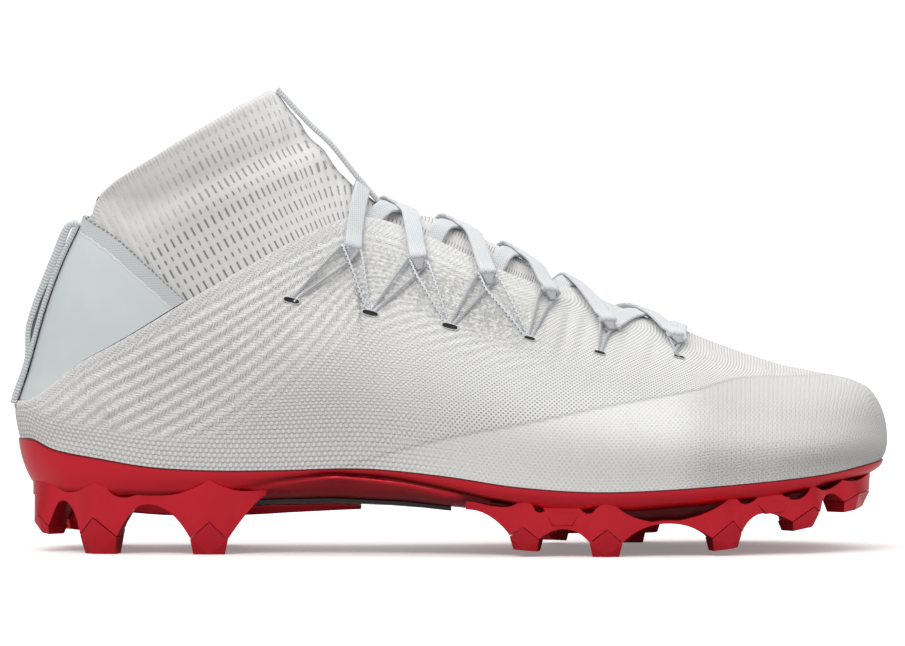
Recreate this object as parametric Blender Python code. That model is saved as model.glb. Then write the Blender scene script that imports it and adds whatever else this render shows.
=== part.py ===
"""American football cleat, right shoe: knit upper, sock collar, moulded plate with studs.

X runs from heel to toe, Z up from the ground, and the lateral (outer) side faces -Y.
Every form is cut from one function, the last: side-view lines that give the outline,
and a half-width for each side at any point inside that outline.
Tables hold shares of the named sizes below.
"""

import math

import bmesh
import bpy
import numpy as np
from mathutils import Vector

# Overall sizes of the shoe, in metres
LENGTH = 0.295
BALL_WIDTH = 0.104
SOLE_HEIGHT = 0.030
INSTEP_HEIGHT = 0.118
COLLAR_BACK_HEIGHT = 0.117
COLLAR_FRONT_HEIGHT = 0.158
ANKLE_WIDTH = 0.060
TOE_SWING = 0.007
CROWN_LEAN = 0.004
# How far a section swells above the feather line, as a share of its half-width
BULGE = 0.06

# Walls and gaps
UPPER_WALL = 0.0016
SOCK_WALL = 0.0018
FILM_WALL = 0.0010
PLATE_WALL = 0.0022
INSOLE_WALL = 0.0035
RIM_PROUD = 0.0005
GAP = 0.0003
INSOLE_LIFT = 0.0009
INSOLE_INSET = 0.0022
SOCK_GAP = 0.0010

# How far the toe nose and the heel round off in plan, and in side view
TOE_ROUND = 0.038
HEEL_ROUND = 0.045
ANKLE_ROUND = 0.030
NOSE_HEIGHT = 0.0395

# Studs: widths across the shoe at the plate, at the seam and at the foot, and how far
# the outer face stands off the plate's lower edge at each of them
STUD_BASE_WIDTH = 0.0115
STUD_SEAM_WIDTH = 0.0090
STUD_FOOT_WIDTH = 0.0070
WEB_WIDTH = 0.0045
SEAM_FLARE = 0.0012
FOOT_INSET = 0.0004
WEB_FLARE = 0.0003
STUD_CREASE = 0.0012
FOOT_SHRINK = 0.0010

# Shank insert and spine bar under the arch
SHANK_WALL = 0.0012
SPINE_WIDTH = 0.012
SPINE_WALL = 0.0012
SPINE_TAPER = 0.0015

# Pull loops, laces and lace loops
HEEL_PULL_WIDTH = 0.014
HEEL_PULL_WALL = 0.0010
# The slot's width at its foot, and how much it opens towards its head
SLOT_WIDTH = 0.0005
SLOT_OPENING = 0.0014
TONGUE_PULL_WIDTH = 0.012
TONGUE_PULL_WALL = 0.0013
PULL_STANDOFF = 0.0040
LACE_WIDTH = 0.0056
LACE_WALL = 0.0011
LACE_LIFT = 0.0005
LACE_BITE = 0.0002
THROAT_SINK = 0.0017
LOOP_DIAMETER = 0.0014
LOOP_DROP = 0.0030
SKIN_REACH = 0.080

# Mesh counts
SHELL_COLUMNS, SHELL_LEVELS = 27, 10
SOCK_COLUMNS, SOCK_LEVELS = 18, 9
FILM_COLUMNS, FILM_LEVELS = 9, 5
SOLE_COLUMNS, SOLE_ACROSS = 25, 6
LACE_STEPS = 6
LOOP_STEPS, LOOP_SIDES = 3, 5

LATERAL, MEDIAL = -1, 1

# Feather line, where the upper meets the plate.
# station: share of LENGTH, height: share of SOLE_HEIGHT
FEATHER = (
    (0.0057, 1.2670),
    (0.0220, 1.2750),
    (0.0490, 1.1650),
    (0.1000, 1.0800),
    (0.1590, 0.9900),
    (0.2270, 0.9550),
    (0.3000, 0.9600),
    (0.3800, 0.9850),
    (0.4300, 0.9680),
    (0.5000, 0.8970),
    (0.5700, 0.7970),
    (0.6500, 0.7400),
    (0.7200, 0.7470),
    (0.8000, 0.7900),
    (0.8700, 0.8450),
    (0.9300, 0.9050),
    (0.9700, 0.9750),
    (0.9935, 1.0150),
)

# Centre line of the outer surface, seen from the side: from the feather line at the toe,
# round the nose, up the vamp and instep to the front of the collar.
# station: share of LENGTH, height: share of INSTEP_HEIGHT
RIDGE = (
    (0.9935, 0.2581),
    (0.9977, 0.2790),
    (1.0000, 0.3190),
    (0.9977, 0.3704),
    (0.9909, 0.4190),
    (0.9794, 0.4590),
    (0.9680, 0.4760),
    (0.9543, 0.4890),
    (0.9291, 0.5018),
    (0.9040, 0.5133),
    (0.8789, 0.5270),
    (0.8537, 0.5460),
    (0.8309, 0.5640),
    (0.8057, 0.5870),
    (0.7851, 0.6070),
    (0.7691, 0.6240),
    (0.7211, 0.6650),
    (0.6960, 0.6890),
    (0.6777, 0.7090),
    (0.6526, 0.7360),
    (0.6269, 0.7700),
    (0.6063, 0.8050),
    (0.5648, 0.8655),
    (0.5420, 0.8940),
    (0.4985, 0.9426),
    (0.4800, 0.9600),
    (0.4501, 0.9745),
    (0.4323, 0.9910),
    (0.4181, 1.0132),
    (0.4069, 1.0326),
    (0.3957, 1.0523),
    (0.3838, 1.0810),
    (0.3757, 1.1025),
    (0.3688, 1.1250),
    (0.3557, 1.1720),
    (0.3387, 1.2254),
    (0.3224, 1.2700),
    (0.3115, 1.3086),
    (0.3021, 1.3350),
)

# The crown that the side walls lean towards behind the front of the collar
# station: share of LENGTH, height: share of INSTEP_HEIGHT
ANKLE_CROWN = ((0.2710, 1.44), (0.2140, 1.72), (0.0990, 2.20), (0.0000, 2.50))

# Line of the heel's back. height: share of COLLAR_BACK_HEIGHT, station: share of LENGTH
BACK = (
    (0.3250, 0.0057),
    (0.3740, 0.0017),
    (0.4170, 0.0000),
    (0.4600, 0.0045),
    (0.5180, 0.0125),
    (0.5900, 0.0205),
    (0.7200, 0.0355),
    (0.8400, 0.0535),
    (0.9350, 0.0712),
    (0.9850, 0.0795),
    (1.0220, 0.0860),
)

# Top edge of the shell: the slanting topline, then the edge of the throat down to its end.
# station: share of LENGTH, height: share of INSTEP_HEIGHT
TOPLINE = (
    (0.0006, 0.4277),
    (0.0220, 0.4430),
    (0.0446, 0.4840),
    (0.0730, 0.5420),
    (0.1290, 0.6210),
    (0.1990, 0.7270),
    (0.2780, 0.8390),
    (0.3180, 0.8930),
    (0.3530, 0.9340),
    (0.3830, 0.9580),
    (0.4150, 0.9530),
    (0.4560, 0.9200),
    (0.4940, 0.8800),
    (0.5340, 0.8330),
    (0.5680, 0.7960),
    (0.6080, 0.7600),
    (0.6370, 0.7560),
)

# Lower edge of the sock, tucked under the shell and on to the end of the tongue
SOCK_FOOT = (
    (0.0017, 0.3760),
    (0.0300, 0.3950),
    (0.0730, 0.4760),
    (0.1290, 0.5550),
    (0.1990, 0.6600),
    (0.2780, 0.7700),
    (0.3430, 0.8420),
    (0.4000, 0.8680),
    (0.4560, 0.8250),
    (0.5200, 0.7600),
    (0.5900, 0.6900),
    (0.6500, 0.6950),
)

# Top edge of the collar. station: share of LENGTH, height: share of COLLAR_FRONT_HEIGHT
COLLAR_TOP = (
    (0.0795, 0.7290),
    (0.0850, 0.7570),
    (0.0990, 0.7820),
    (0.1147, 0.8030),
    (0.1451, 0.8354),
    (0.2000, 0.8930),
    (0.2549, 0.9506),
    (0.2823, 0.9800),
    (0.3021, 0.9970),
)

# Upper edge of the heel film, from the heel's back down to the topline
# station: share of LENGTH, height: share of INSTEP_HEIGHT
FILM_TOP = (
    (0.0705, 0.9150),
    (0.0850, 0.9060),
    (0.1160, 0.8690),
    (0.1500, 0.8030),
    (0.1850, 0.7330),
)

# Half-widths at the feather line, before the ends round off: shares of BALL_WIDTH.
# square: exponent of the section's arch. taper: how far the section follows ANKLE_WIDTH
PLAN = np.array(
    [
        # station, lateral, medial, square
        (0.00, 0.335, 0.335, 3.0),
        (0.10, 0.340, 0.340, 3.0),
        (0.20, 0.345, 0.330, 3.0),
        (0.30, 0.360, 0.310, 2.6),
        (0.42, 0.400, 0.300, 2.2),
        (0.52, 0.455, 0.340, 2.0),
        (0.62, 0.505, 0.420, 2.0),
        (0.70, 0.515, 0.475, 2.1),
        (0.78, 0.490, 0.480, 2.2),
        (0.86, 0.445, 0.460, 2.3),
        (0.93, 0.395, 0.415, 2.4),
        (1.00, 0.345, 0.365, 2.4),
    ]
)

# Plate under the feather line. station: share of LENGTH, edge and belly: heights of the
# sidewall's lower edge and of the middle of the bottom, shares of SOLE_HEIGHT,
# tuck: how far the sidewall runs in at its lower edge, share of BALL_WIDTH
SOLE = np.array(
    [
        # station, edge, belly, tuck
        (0.00, 0.800, 0.640, 0.036),
        (0.05, 0.680, 0.590, 0.040),
        (0.10, 0.660, 0.570, 0.042),
        (0.16, 0.650, 0.560, 0.042),
        (0.227, 0.680, 0.560, 0.046),
        (0.30, 0.720, 0.580, 0.060),
        (0.366, 0.780, 0.590, 0.070),
        (0.45, 0.700, 0.560, 0.065),
        (0.51, 0.610, 0.500, 0.055),
        (0.57, 0.550, 0.450, 0.048),
        (0.65, 0.525, 0.420, 0.045),
        (0.72, 0.530, 0.430, 0.045),
        (0.80, 0.590, 0.480, 0.045),
        (0.87, 0.650, 0.560, 0.045),
        (0.92, 0.720, 0.640, 0.045),
        (0.97, 0.880, 0.800, 0.038),
        (1.00, 0.960, 0.900, 0.036),
    ]
)

# Studs, as shares of LENGTH along and SOLE_HEIGHT up. left, peak, right: corners and
# ridge at the seam between base and tip; seam_left, seam_peak, seam_right: its heights;
# foot_left, foot_right: heights of the foot; apex: top of the ridge up the sidewall
STUD_COLUMNS = (
    "left", "peak", "right", "seam_left", "seam_peak", "seam_right", "foot_left", "foot_right", "apex",
)
LATERAL_STUDS = (
    ("heel_1", 0.0260, 0.0340, 0.0420, 0.350, 0.420, 0.300, 0.230, 0.200, 0.800),
    ("heel_2", 0.0780, 0.0940, 0.1190, 0.217, 0.413, 0.200, 0.000, 0.000, 0.823),
    ("heel_3", 0.2020, 0.2240, 0.2450, 0.183, 0.374, 0.172, 0.000, 0.000, 0.863),
    ("fore_1", 0.5670, 0.5830, 0.6005, 0.240, 0.340, 0.200, 0.080, 0.060, 0.620),
    ("fore_2", 0.6575, 0.6765, 0.6945, 0.161, 0.312, 0.161, 0.000, 0.000, 0.600),
    ("fore_3", 0.7965, 0.8195, 0.8300, 0.206, 0.403, 0.266, 0.054, 0.093, 0.640),
    ("fore_4", 0.8875, 0.9097, 0.9177, 0.374, 0.536, 0.470, 0.262, 0.318, 0.710),
    ("fore_5", 0.9463, 0.9600, 0.9755, 0.570, 0.660, 0.678, 0.447, 0.491, 0.820),
)
MEDIAL_STUDS = (
    ("heel_1", 0.0400, 0.0510, 0.0640, 0.330, 0.400, 0.280, 0.215, 0.185, 0.780),
    ("heel_2", 0.0830, 0.0980, 0.1190, 0.217, 0.413, 0.200, 0.000, 0.000, 0.823),
    ("heel_3", 0.2020, 0.2240, 0.2450, 0.183, 0.374, 0.172, 0.000, 0.000, 0.863),
    ("fore_1", 0.5950, 0.6110, 0.6285, 0.210, 0.320, 0.180, 0.050, 0.035, 0.620),
    ("fore_2", 0.6825, 0.7015, 0.7195, 0.161, 0.312, 0.161, 0.000, 0.000, 0.600),
    ("fore_3", 0.7965, 0.8195, 0.8300, 0.206, 0.403, 0.266, 0.054, 0.093, 0.640),
    ("fore_4", 0.8875, 0.9097, 0.9177, 0.374, 0.536, 0.470, 0.262, 0.318, 0.710),
    ("fore_5", 0.9463, 0.9600, 0.9755, 0.570, 0.660, 0.678, 0.447, 0.491, 0.820),
)

# Tops of the arches between a stud and the next: share of the way between them, height
ARCH_TOPS = {
    "heel_1": (0.40, 0.593),
    "heel_2": (0.41, 0.565),
    "fore_1": (0.49, 0.313),
    "fore_2": (0.50, 0.370),
    "fore_3": (0.46, 0.470),
    "fore_4": (0.50, 0.670),
}
# Where each row of studs starts and ends on the sidewall: station and height
HEEL_ENDS = ((0.0222, 0.700), (0.2880, 0.650))
FORE_ENDS = ((0.5166, 0.525), (0.9785, 0.830))

# Small studs in the middle of the forefoot: station, and height of the foot
CENTRE_STUDS = ((0.640, 0.190), (0.716, 0.190))
CENTRE_STUD_LENGTH = 0.014
CENTRE_STUD_WIDTH = 0.009

# Spine bar under the heel and the shank. station, and height of its bottom
SPINE = ((0.110, 0.440), (0.180, 0.390), (0.262, 0.397), (0.320, 0.430), (0.384, 0.463), (0.397, 0.465))
SHANK_REACH = (0.262, 0.500)
SHANK_EDGE = 0.22

# Lacing points on the side: station: share of LENGTH, height: share of INSTEP_HEIGHT
LACE_POINTS = (
    (0.3850, 0.8520),
    (0.4630, 0.8120),
    (0.5415, 0.7690),
    (0.6115, 0.7200),
    (0.6790, 0.6340),
    (0.7570, 0.5900),
)
# Where each lace crosses the ridge, towards the heel from its lacing point
CROSSINGS = (0.401, 0.444, 0.509, 0.576, 0.633, 0.7195)
TOE_BAR_CROSSING = 0.769
# Ends of each loop in the upper: station and height of the heelward and the toeward end
LOOP_ENDS = (
    ((0.3180, 0.721), (0.4000, 0.712)),
    ((0.4070, 0.712), (0.4890, 0.658)),
    ((0.4960, 0.652), (0.5820, 0.620)),
    ((0.5890, 0.618), (0.5970, 0.614)),
    ((0.6690, 0.575), (0.6780, 0.568)),
    ((0.7530, 0.535), (0.7610, 0.535)),
)

# Tongue pull. share: way down the front line from the collar's top to PULL_END, a share of
# LENGTH; standoff: of its middle from the sock, share of PULL_STANDOFF
PULL_END = 0.4323
TONGUE_PULL = np.array(
    [
        # share, standoff
        (0.00, 0.24),
        (0.17, 0.24),
        (0.30, 0.32),
        (0.45, 0.82),
        (0.66, 1.02),
        (0.80, 1.00),
        (0.92, 0.92),
    ]
)

# Heel pull: heights of its foot, of the slot's two ends and of its head, shares of
# COLLAR_BACK_HEIGHT
HEEL_PULL_FOOT, SLOT_FOOT, SLOT_HEAD, HEEL_PULL_HEAD = 0.456, 0.580, 0.935, 0.958


def catmull(points, samples=12):
    """A smooth polyline through the points."""
    p = np.array(points, float)
    p = np.vstack([2 * p[0] - p[1], p, 2 * p[-1] - p[-2]])
    out = []
    for a, b, c, d in zip(p, p[1:], p[2:], p[3:]):
        for t in np.linspace(0, 1, samples, endpoint=False):
            out.append(
                0.5
                * (
                    2 * b
                    + (c - a) * t
                    + (2 * a - 5 * b + 4 * c - d) * t**2
                    + (3 * b - a - 3 * c + d) * t**3
                )
            )
    out.append(p[-2])
    return np.array(out)


class Line:
    """A side-view line, read by its share of length."""

    def __init__(self, points):
        self.points = np.array(points, float)
        steps = np.linalg.norm(np.diff(self.points, axis=0), axis=1)
        self.along = np.concatenate([[0], np.cumsum(steps)]) / steps.sum()

    def at(self, share):
        """Points at these shares of the line, as an array of (x, z)."""
        ends = [np.interp(share, self.along, self.points[:, k]) for k in (0, 1)]
        return np.stack(ends, axis=-1)

    def share_at_x(self, x):
        """Share at which the line reaches station x; it runs one way in x there."""
        order = np.argsort(self.points[:, 0])
        return np.interp(x, self.points[order, 0], self.along[order])

    def between(self, start, end):
        """The stretch between two shares, as a line of its own."""
        return Line(self.at(np.linspace(start, end, 80)))

    def moved(self, distance):
        """The line moved to its left, seen along its run."""
        run = np.gradient(self.points, axis=0)
        run /= np.linalg.norm(run, axis=1, keepdims=True)
        return Line(self.points + distance * np.stack([-run[:, 1], run[:, 0]], axis=1))


def side_line(rows, height):
    return Line(catmull([(u * LENGTH, v * height) for u, v in rows]))


feather_line = side_line(FEATHER, SOLE_HEIGHT)
ridge_line = side_line(RIDGE, INSTEP_HEIGHT)
top_line = side_line(TOPLINE, INSTEP_HEIGHT)
sock_foot_line = side_line(SOCK_FOOT, INSTEP_HEIGHT)
collar_top_line = side_line(COLLAR_TOP, COLLAR_FRONT_HEIGHT)
film_top_line = side_line(FILM_TOP, INSTEP_HEIGHT)
back_points = catmull([(v * LENGTH, u * COLLAR_BACK_HEIGHT) for u, v in BACK])


def smooth(low, high, x):
    t = np.clip((x - low) / (high - low), 0, 1)
    return t * t * (3 - 2 * t)


def back_x(z):
    return np.interp(z, back_points[:, 1], back_points[:, 0])


def feather_z(x):
    return np.interp(x, feather_line.points[:, 0], feather_line.points[:, 1])


def crown_z(x):
    """Height of the ridge over station x; behind the collar's front, a crown above it."""
    nose = ridge_line.points[:, 1] >= NOSE_HEIGHT
    ridge = ridge_line.points[nose][::-1]
    ankle = [(u * LENGTH, v * INSTEP_HEIGHT) for u, v in ANKLE_CROWN[::-1]]
    crown = np.vstack([ankle, ridge])
    return np.interp(x, crown[:, 0], crown[:, 1])


def front_x(z):
    """Front of the toe at height z: it draws in below the nose."""
    below = ridge_line.points[ridge_line.points[:, 1] <= NOSE_HEIGHT]
    return np.interp(z, below[:, 1], below[:, 0])


def plan(column, x):
    return np.interp(x / LENGTH, PLAN[:, 0], PLAN[:, column])


def rounded(distance, reach):
    """Quarter-ellipse: 0 at the end of the shoe, 1 at the reach from it."""
    t = 1 - np.clip(distance / reach, 0, 1)
    return np.sqrt(np.clip(1 - t * t, 0, 1))


def section_height(x, z):
    """How far z lies between the feather line and the crown, from 0 to 1."""
    low = feather_z(x)
    return np.clip((z - low) / (crown_z(x) - low), 0, 1)


def middle_y(x, z):
    """The plane that the two halves meet in: it swings to the big toe and leans up the instep."""
    u = x / LENGTH
    lean = CROWN_LEAN * smooth(0.30, 0.50, u) * (1 - smooth(0.80, 1.0, u))
    return TOE_SWING * smooth(0.50, 1.0, u) + lean * section_height(x, z)


def half_width(x, z, side):
    """Half-width of the outer surface at a side-view point."""
    square = plan(3, x)
    h = section_height(x, z)
    foot = plan(1 if side == LATERAL else 2, x) * BALL_WIDTH
    ankle = smooth(0.55 * INSTEP_HEIGHT, 1.25 * INSTEP_HEIGHT, z) * (1 - smooth(0.35, 0.55, x / LENGTH))
    width = foot + (ANKLE_WIDTH / 2 - foot) * ankle
    arch = np.sqrt(np.clip(1 - h**square, 0, 1)) * (1 + BULGE * np.sin(np.pi * np.clip(h / 0.6, 0, 1)) ** 2)
    reach = HEEL_ROUND + (ANKLE_ROUND - HEEL_ROUND) * ankle
    return width * arch * rounded(x - back_x(z), reach) * rounded(front_x(z) - x, TOE_ROUND)


def surface(x, z, side):
    """A point of the outer surface."""
    y = middle_y(x, z) + side * half_width(x, z, side)
    return np.stack(np.broadcast_arrays(x, y, z), axis=-1)


def columns(count, line):
    """Shares of a line whose points on the surface are evenly spaced, but closer at both ends."""
    share = 0.5 * (1 - np.cos(np.linspace(0, np.pi, 400)))
    flat = line.at(share)
    steps = np.linalg.norm(np.diff(surface(flat[:, 0], flat[:, 1], LATERAL), axis=0), axis=1)
    travelled = np.concatenate([[0], np.cumsum(steps)]) / steps.sum()
    t = np.linspace(0, 1, count + 1)
    return np.interp(0.3 * t + 0.35 * (1 - np.cos(np.pi * t)), travelled, share)


def patch(bottom, top, back, front, q, t):
    """Side-view point at share q along and t up a patch bounded by four lines."""
    q, t = q[..., None], t[..., None]
    rails = (1 - t) * bottom.at(q[..., 0]) + t * top.at(q[..., 0])
    posts = (1 - q) * back.at(t[..., 0]) + q * front.at(t[..., 0])
    corners = (
        (1 - q) * (1 - t) * bottom.at(0.0)
        + q * (1 - t) * bottom.at(1.0)
        + (1 - q) * t * top.at(0.0)
        + q * t * top.at(1.0)
    )
    return rails + posts - corners


def loop_levels(bottom, top, back, front, count, levels, closed=True):
    """Rows of points, one closed loop of the outer surface for each level of a patch.
    With closed False, each row is an arc round the heel from the medial to the lateral end."""
    q = columns(count, bottom)
    rows = []
    for t in np.linspace(0, 1, levels + 1):
        flat = patch(bottom, top, back, front, q, np.full_like(q, t))
        outer = surface(flat[:, 0], flat[:, 1], LATERAL)
        inner = surface(flat[:, 0], flat[:, 1], MEDIAL)
        outer[0, 1] = middle_y(*flat[0])
        if closed:
            outer[-1, 1] = middle_y(*flat[-1])
            rows.append(np.vstack([outer, inner[-2:0:-1]]))
        else:
            rows.append(np.vstack([inner[::-1], outer[1:]]))
    return np.array(rows)


def grid_faces(levels, count, closed):
    faces = []
    for k in range(levels - 1):
        for i in range(count if closed else count - 1):
            j = (i + 1) % count
            faces.append((k * count + i, k * count + j, (k + 1) * count + j, (k + 1) * count + i))
    return faces


def material(name, colour, roughness, metallic=0.0):
    made = bpy.data.materials.get(name) or bpy.data.materials.new(name)
    made.use_nodes = True
    shader = made.node_tree.nodes["Principled BSDF"]
    shader.inputs["Base Color"].default_value = (*colour, 1)
    shader.inputs["Roughness"].default_value = roughness
    shader.inputs["Metallic"].default_value = metallic
    return made


def add_object(name, points, faces, finish=None, smooth_angle=40):
    mesh = bpy.data.meshes.new(name)
    mesh.from_pydata([tuple(p) for p in points], [], faces)
    body = bmesh.new()
    body.from_mesh(mesh)
    bmesh.ops.recalc_face_normals(body, faces=body.faces)
    bmesh.ops.triangulate(body, faces=body.faces)
    body.to_mesh(mesh)
    body.free()
    mesh.shade_smooth()
    mesh.set_sharp_from_angle(angle=math.radians(smooth_angle))
    obj = bpy.data.objects.new(name, mesh)
    bpy.context.scene.collection.objects.link(obj)
    if finish:
        mesh.materials.append(finish)
    return obj


def inset(points, closed, depth):
    """The same rows of points, moved in by depth along the surface's normals."""
    if depth == 0:
        return points
    levels, count, _ = points.shape
    if closed:
        along = np.roll(points, -1, axis=1) - np.roll(points, 1, axis=1)
    else:
        along = np.gradient(points, axis=1)
    up = np.gradient(points, axis=0)
    normal = np.cross(along, up)
    normal /= np.maximum(np.linalg.norm(normal, axis=2, keepdims=True), 1e-12)
    return points - normal * depth


def shell(name, rows, closed, depth, wall, finish):
    """A wall of even thickness on rows of points, its outer face at depth below them."""
    outer = inset(rows, closed, depth)
    inner = inset(rows, closed, depth + wall)
    levels, count, _ = rows.shape
    size = levels * count
    faces = grid_faces(levels, count, closed)
    faces += [tuple(size + i for i in reversed(f)) for f in grid_faces(levels, count, closed)]
    edges = [(0, 1), ((levels - 1) * count, -1)]
    for start, way in edges:
        for i in range(count if closed else count - 1):
            a, b = start + i, start + (i + 1) % count
            quad = (a, a + size, b + size, b)
            faces.append(quad[::way])
    if not closed:
        for i, way in ((0, -1), (count - 1, 1)):
            for k in range(levels - 1):
                a, b = k * count + i, (k + 1) * count + i
                faces.append((a, a + size, b + size, b)[::way])
    return add_object(name, np.vstack([outer.reshape(-1, 3), inner.reshape(-1, 3)]), faces, finish)


def back_line(low, high):
    """The heel's back between two heights."""
    z = np.linspace(low, high, 40)
    return Line(np.stack([back_x(z), z], axis=1))


def make_upper():
    end = ridge_line.share_at_x(TOPLINE[-1][0] * LENGTH)
    front = ridge_line.between(0, end)
    top = Line(np.vstack([top_line.points[:-1], front.points[-1]]))
    back = back_line(feather_line.points[0, 1], top.points[0, 1])
    rows = loop_levels(feather_line, top, back, front, SHELL_COLUMNS, SHELL_LEVELS)
    return shell("upper", rows, True, 0, UPPER_WALL, material("knit_shell", (0.80, 0.80, 0.79), 0.75))


def make_collar():
    """The sock that the ankle goes into, with the tongue in one piece with it."""
    start = ridge_line.share_at_x(SOCK_FOOT[-1][0] * LENGTH)
    front = ridge_line.between(start, 1)
    foot = Line(np.vstack([sock_foot_line.points[:-1], front.points[0]]))
    top = Line(np.vstack([collar_top_line.points[:-1], front.points[-1]]))
    back = back_line(foot.points[0, 1], top.points[0, 1])
    rows = loop_levels(foot, top, back, front, SOCK_COLUMNS, SOCK_LEVELS)
    depth = UPPER_WALL + SOCK_GAP
    return shell("collar", rows, True, depth, SOCK_WALL, material("knit_sock", (0.74, 0.74, 0.73), 0.85))


def make_heel_film():
    end = top_line.share_at_x(FILM_TOP[-1][0] * LENGTH)
    foot = top_line.between(0, end).moved(1.6 * GAP)
    back = back_line(foot.points[0, 1], film_top_line.points[0, 1])
    front = Line([foot.points[-1], film_top_line.points[-1]])
    rows = loop_levels(foot, film_top_line, back, front, FILM_COLUMNS, FILM_LEVELS, closed=False)
    depth = UPPER_WALL - FILM_WALL
    return shell("heel_film", rows, False, depth, FILM_WALL, material("film", (0.60, 0.64, 0.66), 0.35))


def plan_inward(loop):
    """Unit plan vectors that point into a closed loop of points."""
    run = np.roll(loop, -1, axis=0) - np.roll(loop, 1, axis=0)
    run[:, 2] = 0
    run /= np.linalg.norm(run, axis=1, keepdims=True)
    return np.stack([-run[:, 1], run[:, 0], np.zeros(len(run))], axis=1)


def sole_value(column, x):
    return np.interp(x / LENGTH, SOLE[:, 0], SOLE[:, column])


def sidewall_rows():
    """Outer rows of the plate's sidewall: rim, middle and lower edge, and plan vectors in."""
    flat = feather_line.at(columns(SOLE_COLUMNS, feather_line))
    outer = surface(flat[:, 0], flat[:, 1], LATERAL)
    inner = surface(flat[:, 0], flat[:, 1], MEDIAL)
    outer[0, 1] = middle_y(*flat[0])
    outer[-1, 1] = middle_y(*flat[-1])
    loop = np.vstack([outer, inner[-2:0:-1]])
    inward = plan_inward(loop)
    rim = loop - inward * RIM_PROUD
    rim[:, 2] -= GAP
    edge = loop + inward * (sole_value(3, loop[:, 0]) * BALL_WIDTH)[:, None]
    edge[:, 2] = sole_value(1, loop[:, 0]) * SOLE_HEIGHT
    middle = rim + (edge - rim) * 0.30
    middle[:, 2] = 0.5 * (rim[:, 2] + edge[:, 2])
    return rim, middle, edge, inward


def bottom_z(x, share, edge_z):
    """Height of the plate's underside at a share of the way from its edge to the other."""
    belly = sole_value(2, x) * SOLE_HEIGHT
    return belly + (edge_z - belly) * np.abs(2 * share - 1) ** 3


def loft_faces(rows, sides):
    """Faces of a solid of stacked sections with a cap at each end."""
    faces = [face for k in range(rows - 1) for face in band(k * sides, (k + 1) * sides, sides)]
    return faces + [tuple(range(sides)), tuple(range((rows - 1) * sides, rows * sides))]


def ladder(loop, first, rise):
    """Points and faces that close a loop across the shoe. first: index of the loop's
    first point; rise: height above the plate's underside."""
    half = len(loop) // 2
    size = first + len(loop)
    points, chains = [], [[first]]
    for i in range(1, half):
        a, b = loop[i], loop[-i]
        chain = [first + i]
        for j in range(1, SOLE_ACROSS):
            share = j / SOLE_ACROSS
            p = a + (b - a) * share
            p[2] = bottom_z(p[0], share, (a + (b - a) * share)[2] - rise) + rise
            chain.append(size + len(points))
            points.append(p)
        chain.append(first + len(loop) - i)
        chains.append(chain)
    chains.append([first + half])
    faces = [(chains[0][0], a, b) for a, b in zip(chains[1], chains[1][1:])]
    for c, d in zip(chains[1:-2], chains[2:-1]):
        faces += [(c[j], d[j], d[j + 1], c[j + 1]) for j in range(SOLE_ACROSS)]
    faces += [(a, chains[-1][0], b) for a, b in zip(chains[-2], chains[-2][1:])]
    return points, faces


def band(first, second, count):
    """Faces between two closed loops of the same count."""
    return [
        (first + i, first + (i + 1) % count, second + (i + 1) % count, second + i)
        for i in range(count)
    ]


def cup_inside(rim, middle, edge, inward):
    """Inner rows of the cup, from the rim down to the corner of its floor."""
    low = edge + inward * PLATE_WALL
    low[:, 2] += PLATE_WALL
    return rim + inward * PLATE_WALL, middle + inward * PLATE_WALL, low


def plate_cup():
    rim, middle, edge, inward = sidewall_rows()
    inner = cup_inside(rim, middle, edge, inward)
    count = len(rim)
    points = np.vstack([rim, middle, edge])
    under, faces_under = ladder(edge, 2 * count, 0)
    start = 3 * count + len(under)
    above, faces_above = ladder(inner[2], start + 2 * count, PLATE_WALL)
    points = np.vstack([points, under, *inner, above])
    faces = band(0, count, count) + band(count, 2 * count, count) + faces_under
    faces += band(start, start + count, count) + band(start + count, start + 2 * count, count)
    faces += faces_above + band(0, start, count)
    return add_object("plate", points, faces, material("red_chrome", (0.50, 0.02, 0.04), 0.22, 0.85))


class Side:
    """One side of the plate's sidewall, read by station."""

    def __init__(self, side):
        rim, middle, edge, _ = sidewall_rows()
        half = len(rim) // 2
        pick = list(range(half + 1)) if side == LATERAL else [0] + list(range(len(rim) - 1, half - 1, -1))
        self.rows = [row[pick] for row in (edge, middle, rim)]
        self.side = side

    def edge(self, x):
        row = self.rows[0]
        return np.array([x, np.interp(x, row[:, 0], row[:, 1]), np.interp(x, row[:, 0], row[:, 2])])

    def inward(self, x):
        ahead, behind = self.edge(x + 0.001), self.edge(x - 0.001)
        run = (ahead - behind) * (1, 1, 0)
        run /= np.linalg.norm(run)
        return self.side * np.array([run[1], -run[0], 0])

    def wall(self, x, z):
        """Point of the sidewall's outer face over station x at height z."""
        ys = [np.interp(x, row[:, 0], row[:, 1]) for row in self.rows]
        zs = [np.interp(x, row[:, 0], row[:, 2]) for row in self.rows]
        return np.array([x, np.interp(z, zs, ys), z])

    def under(self, x, reach):
        """Point of the plate's underside, this far in from its edge."""
        p = self.edge(x) + self.inward(x) * reach
        mine, other = self.edge(p[0]), Side.pair[-self.side].edge(p[0])
        share = (p[1] - mine[1]) / (other[1] - mine[1])
        p[2] = bottom_z(p[0], share, mine[2])
        return p


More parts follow.
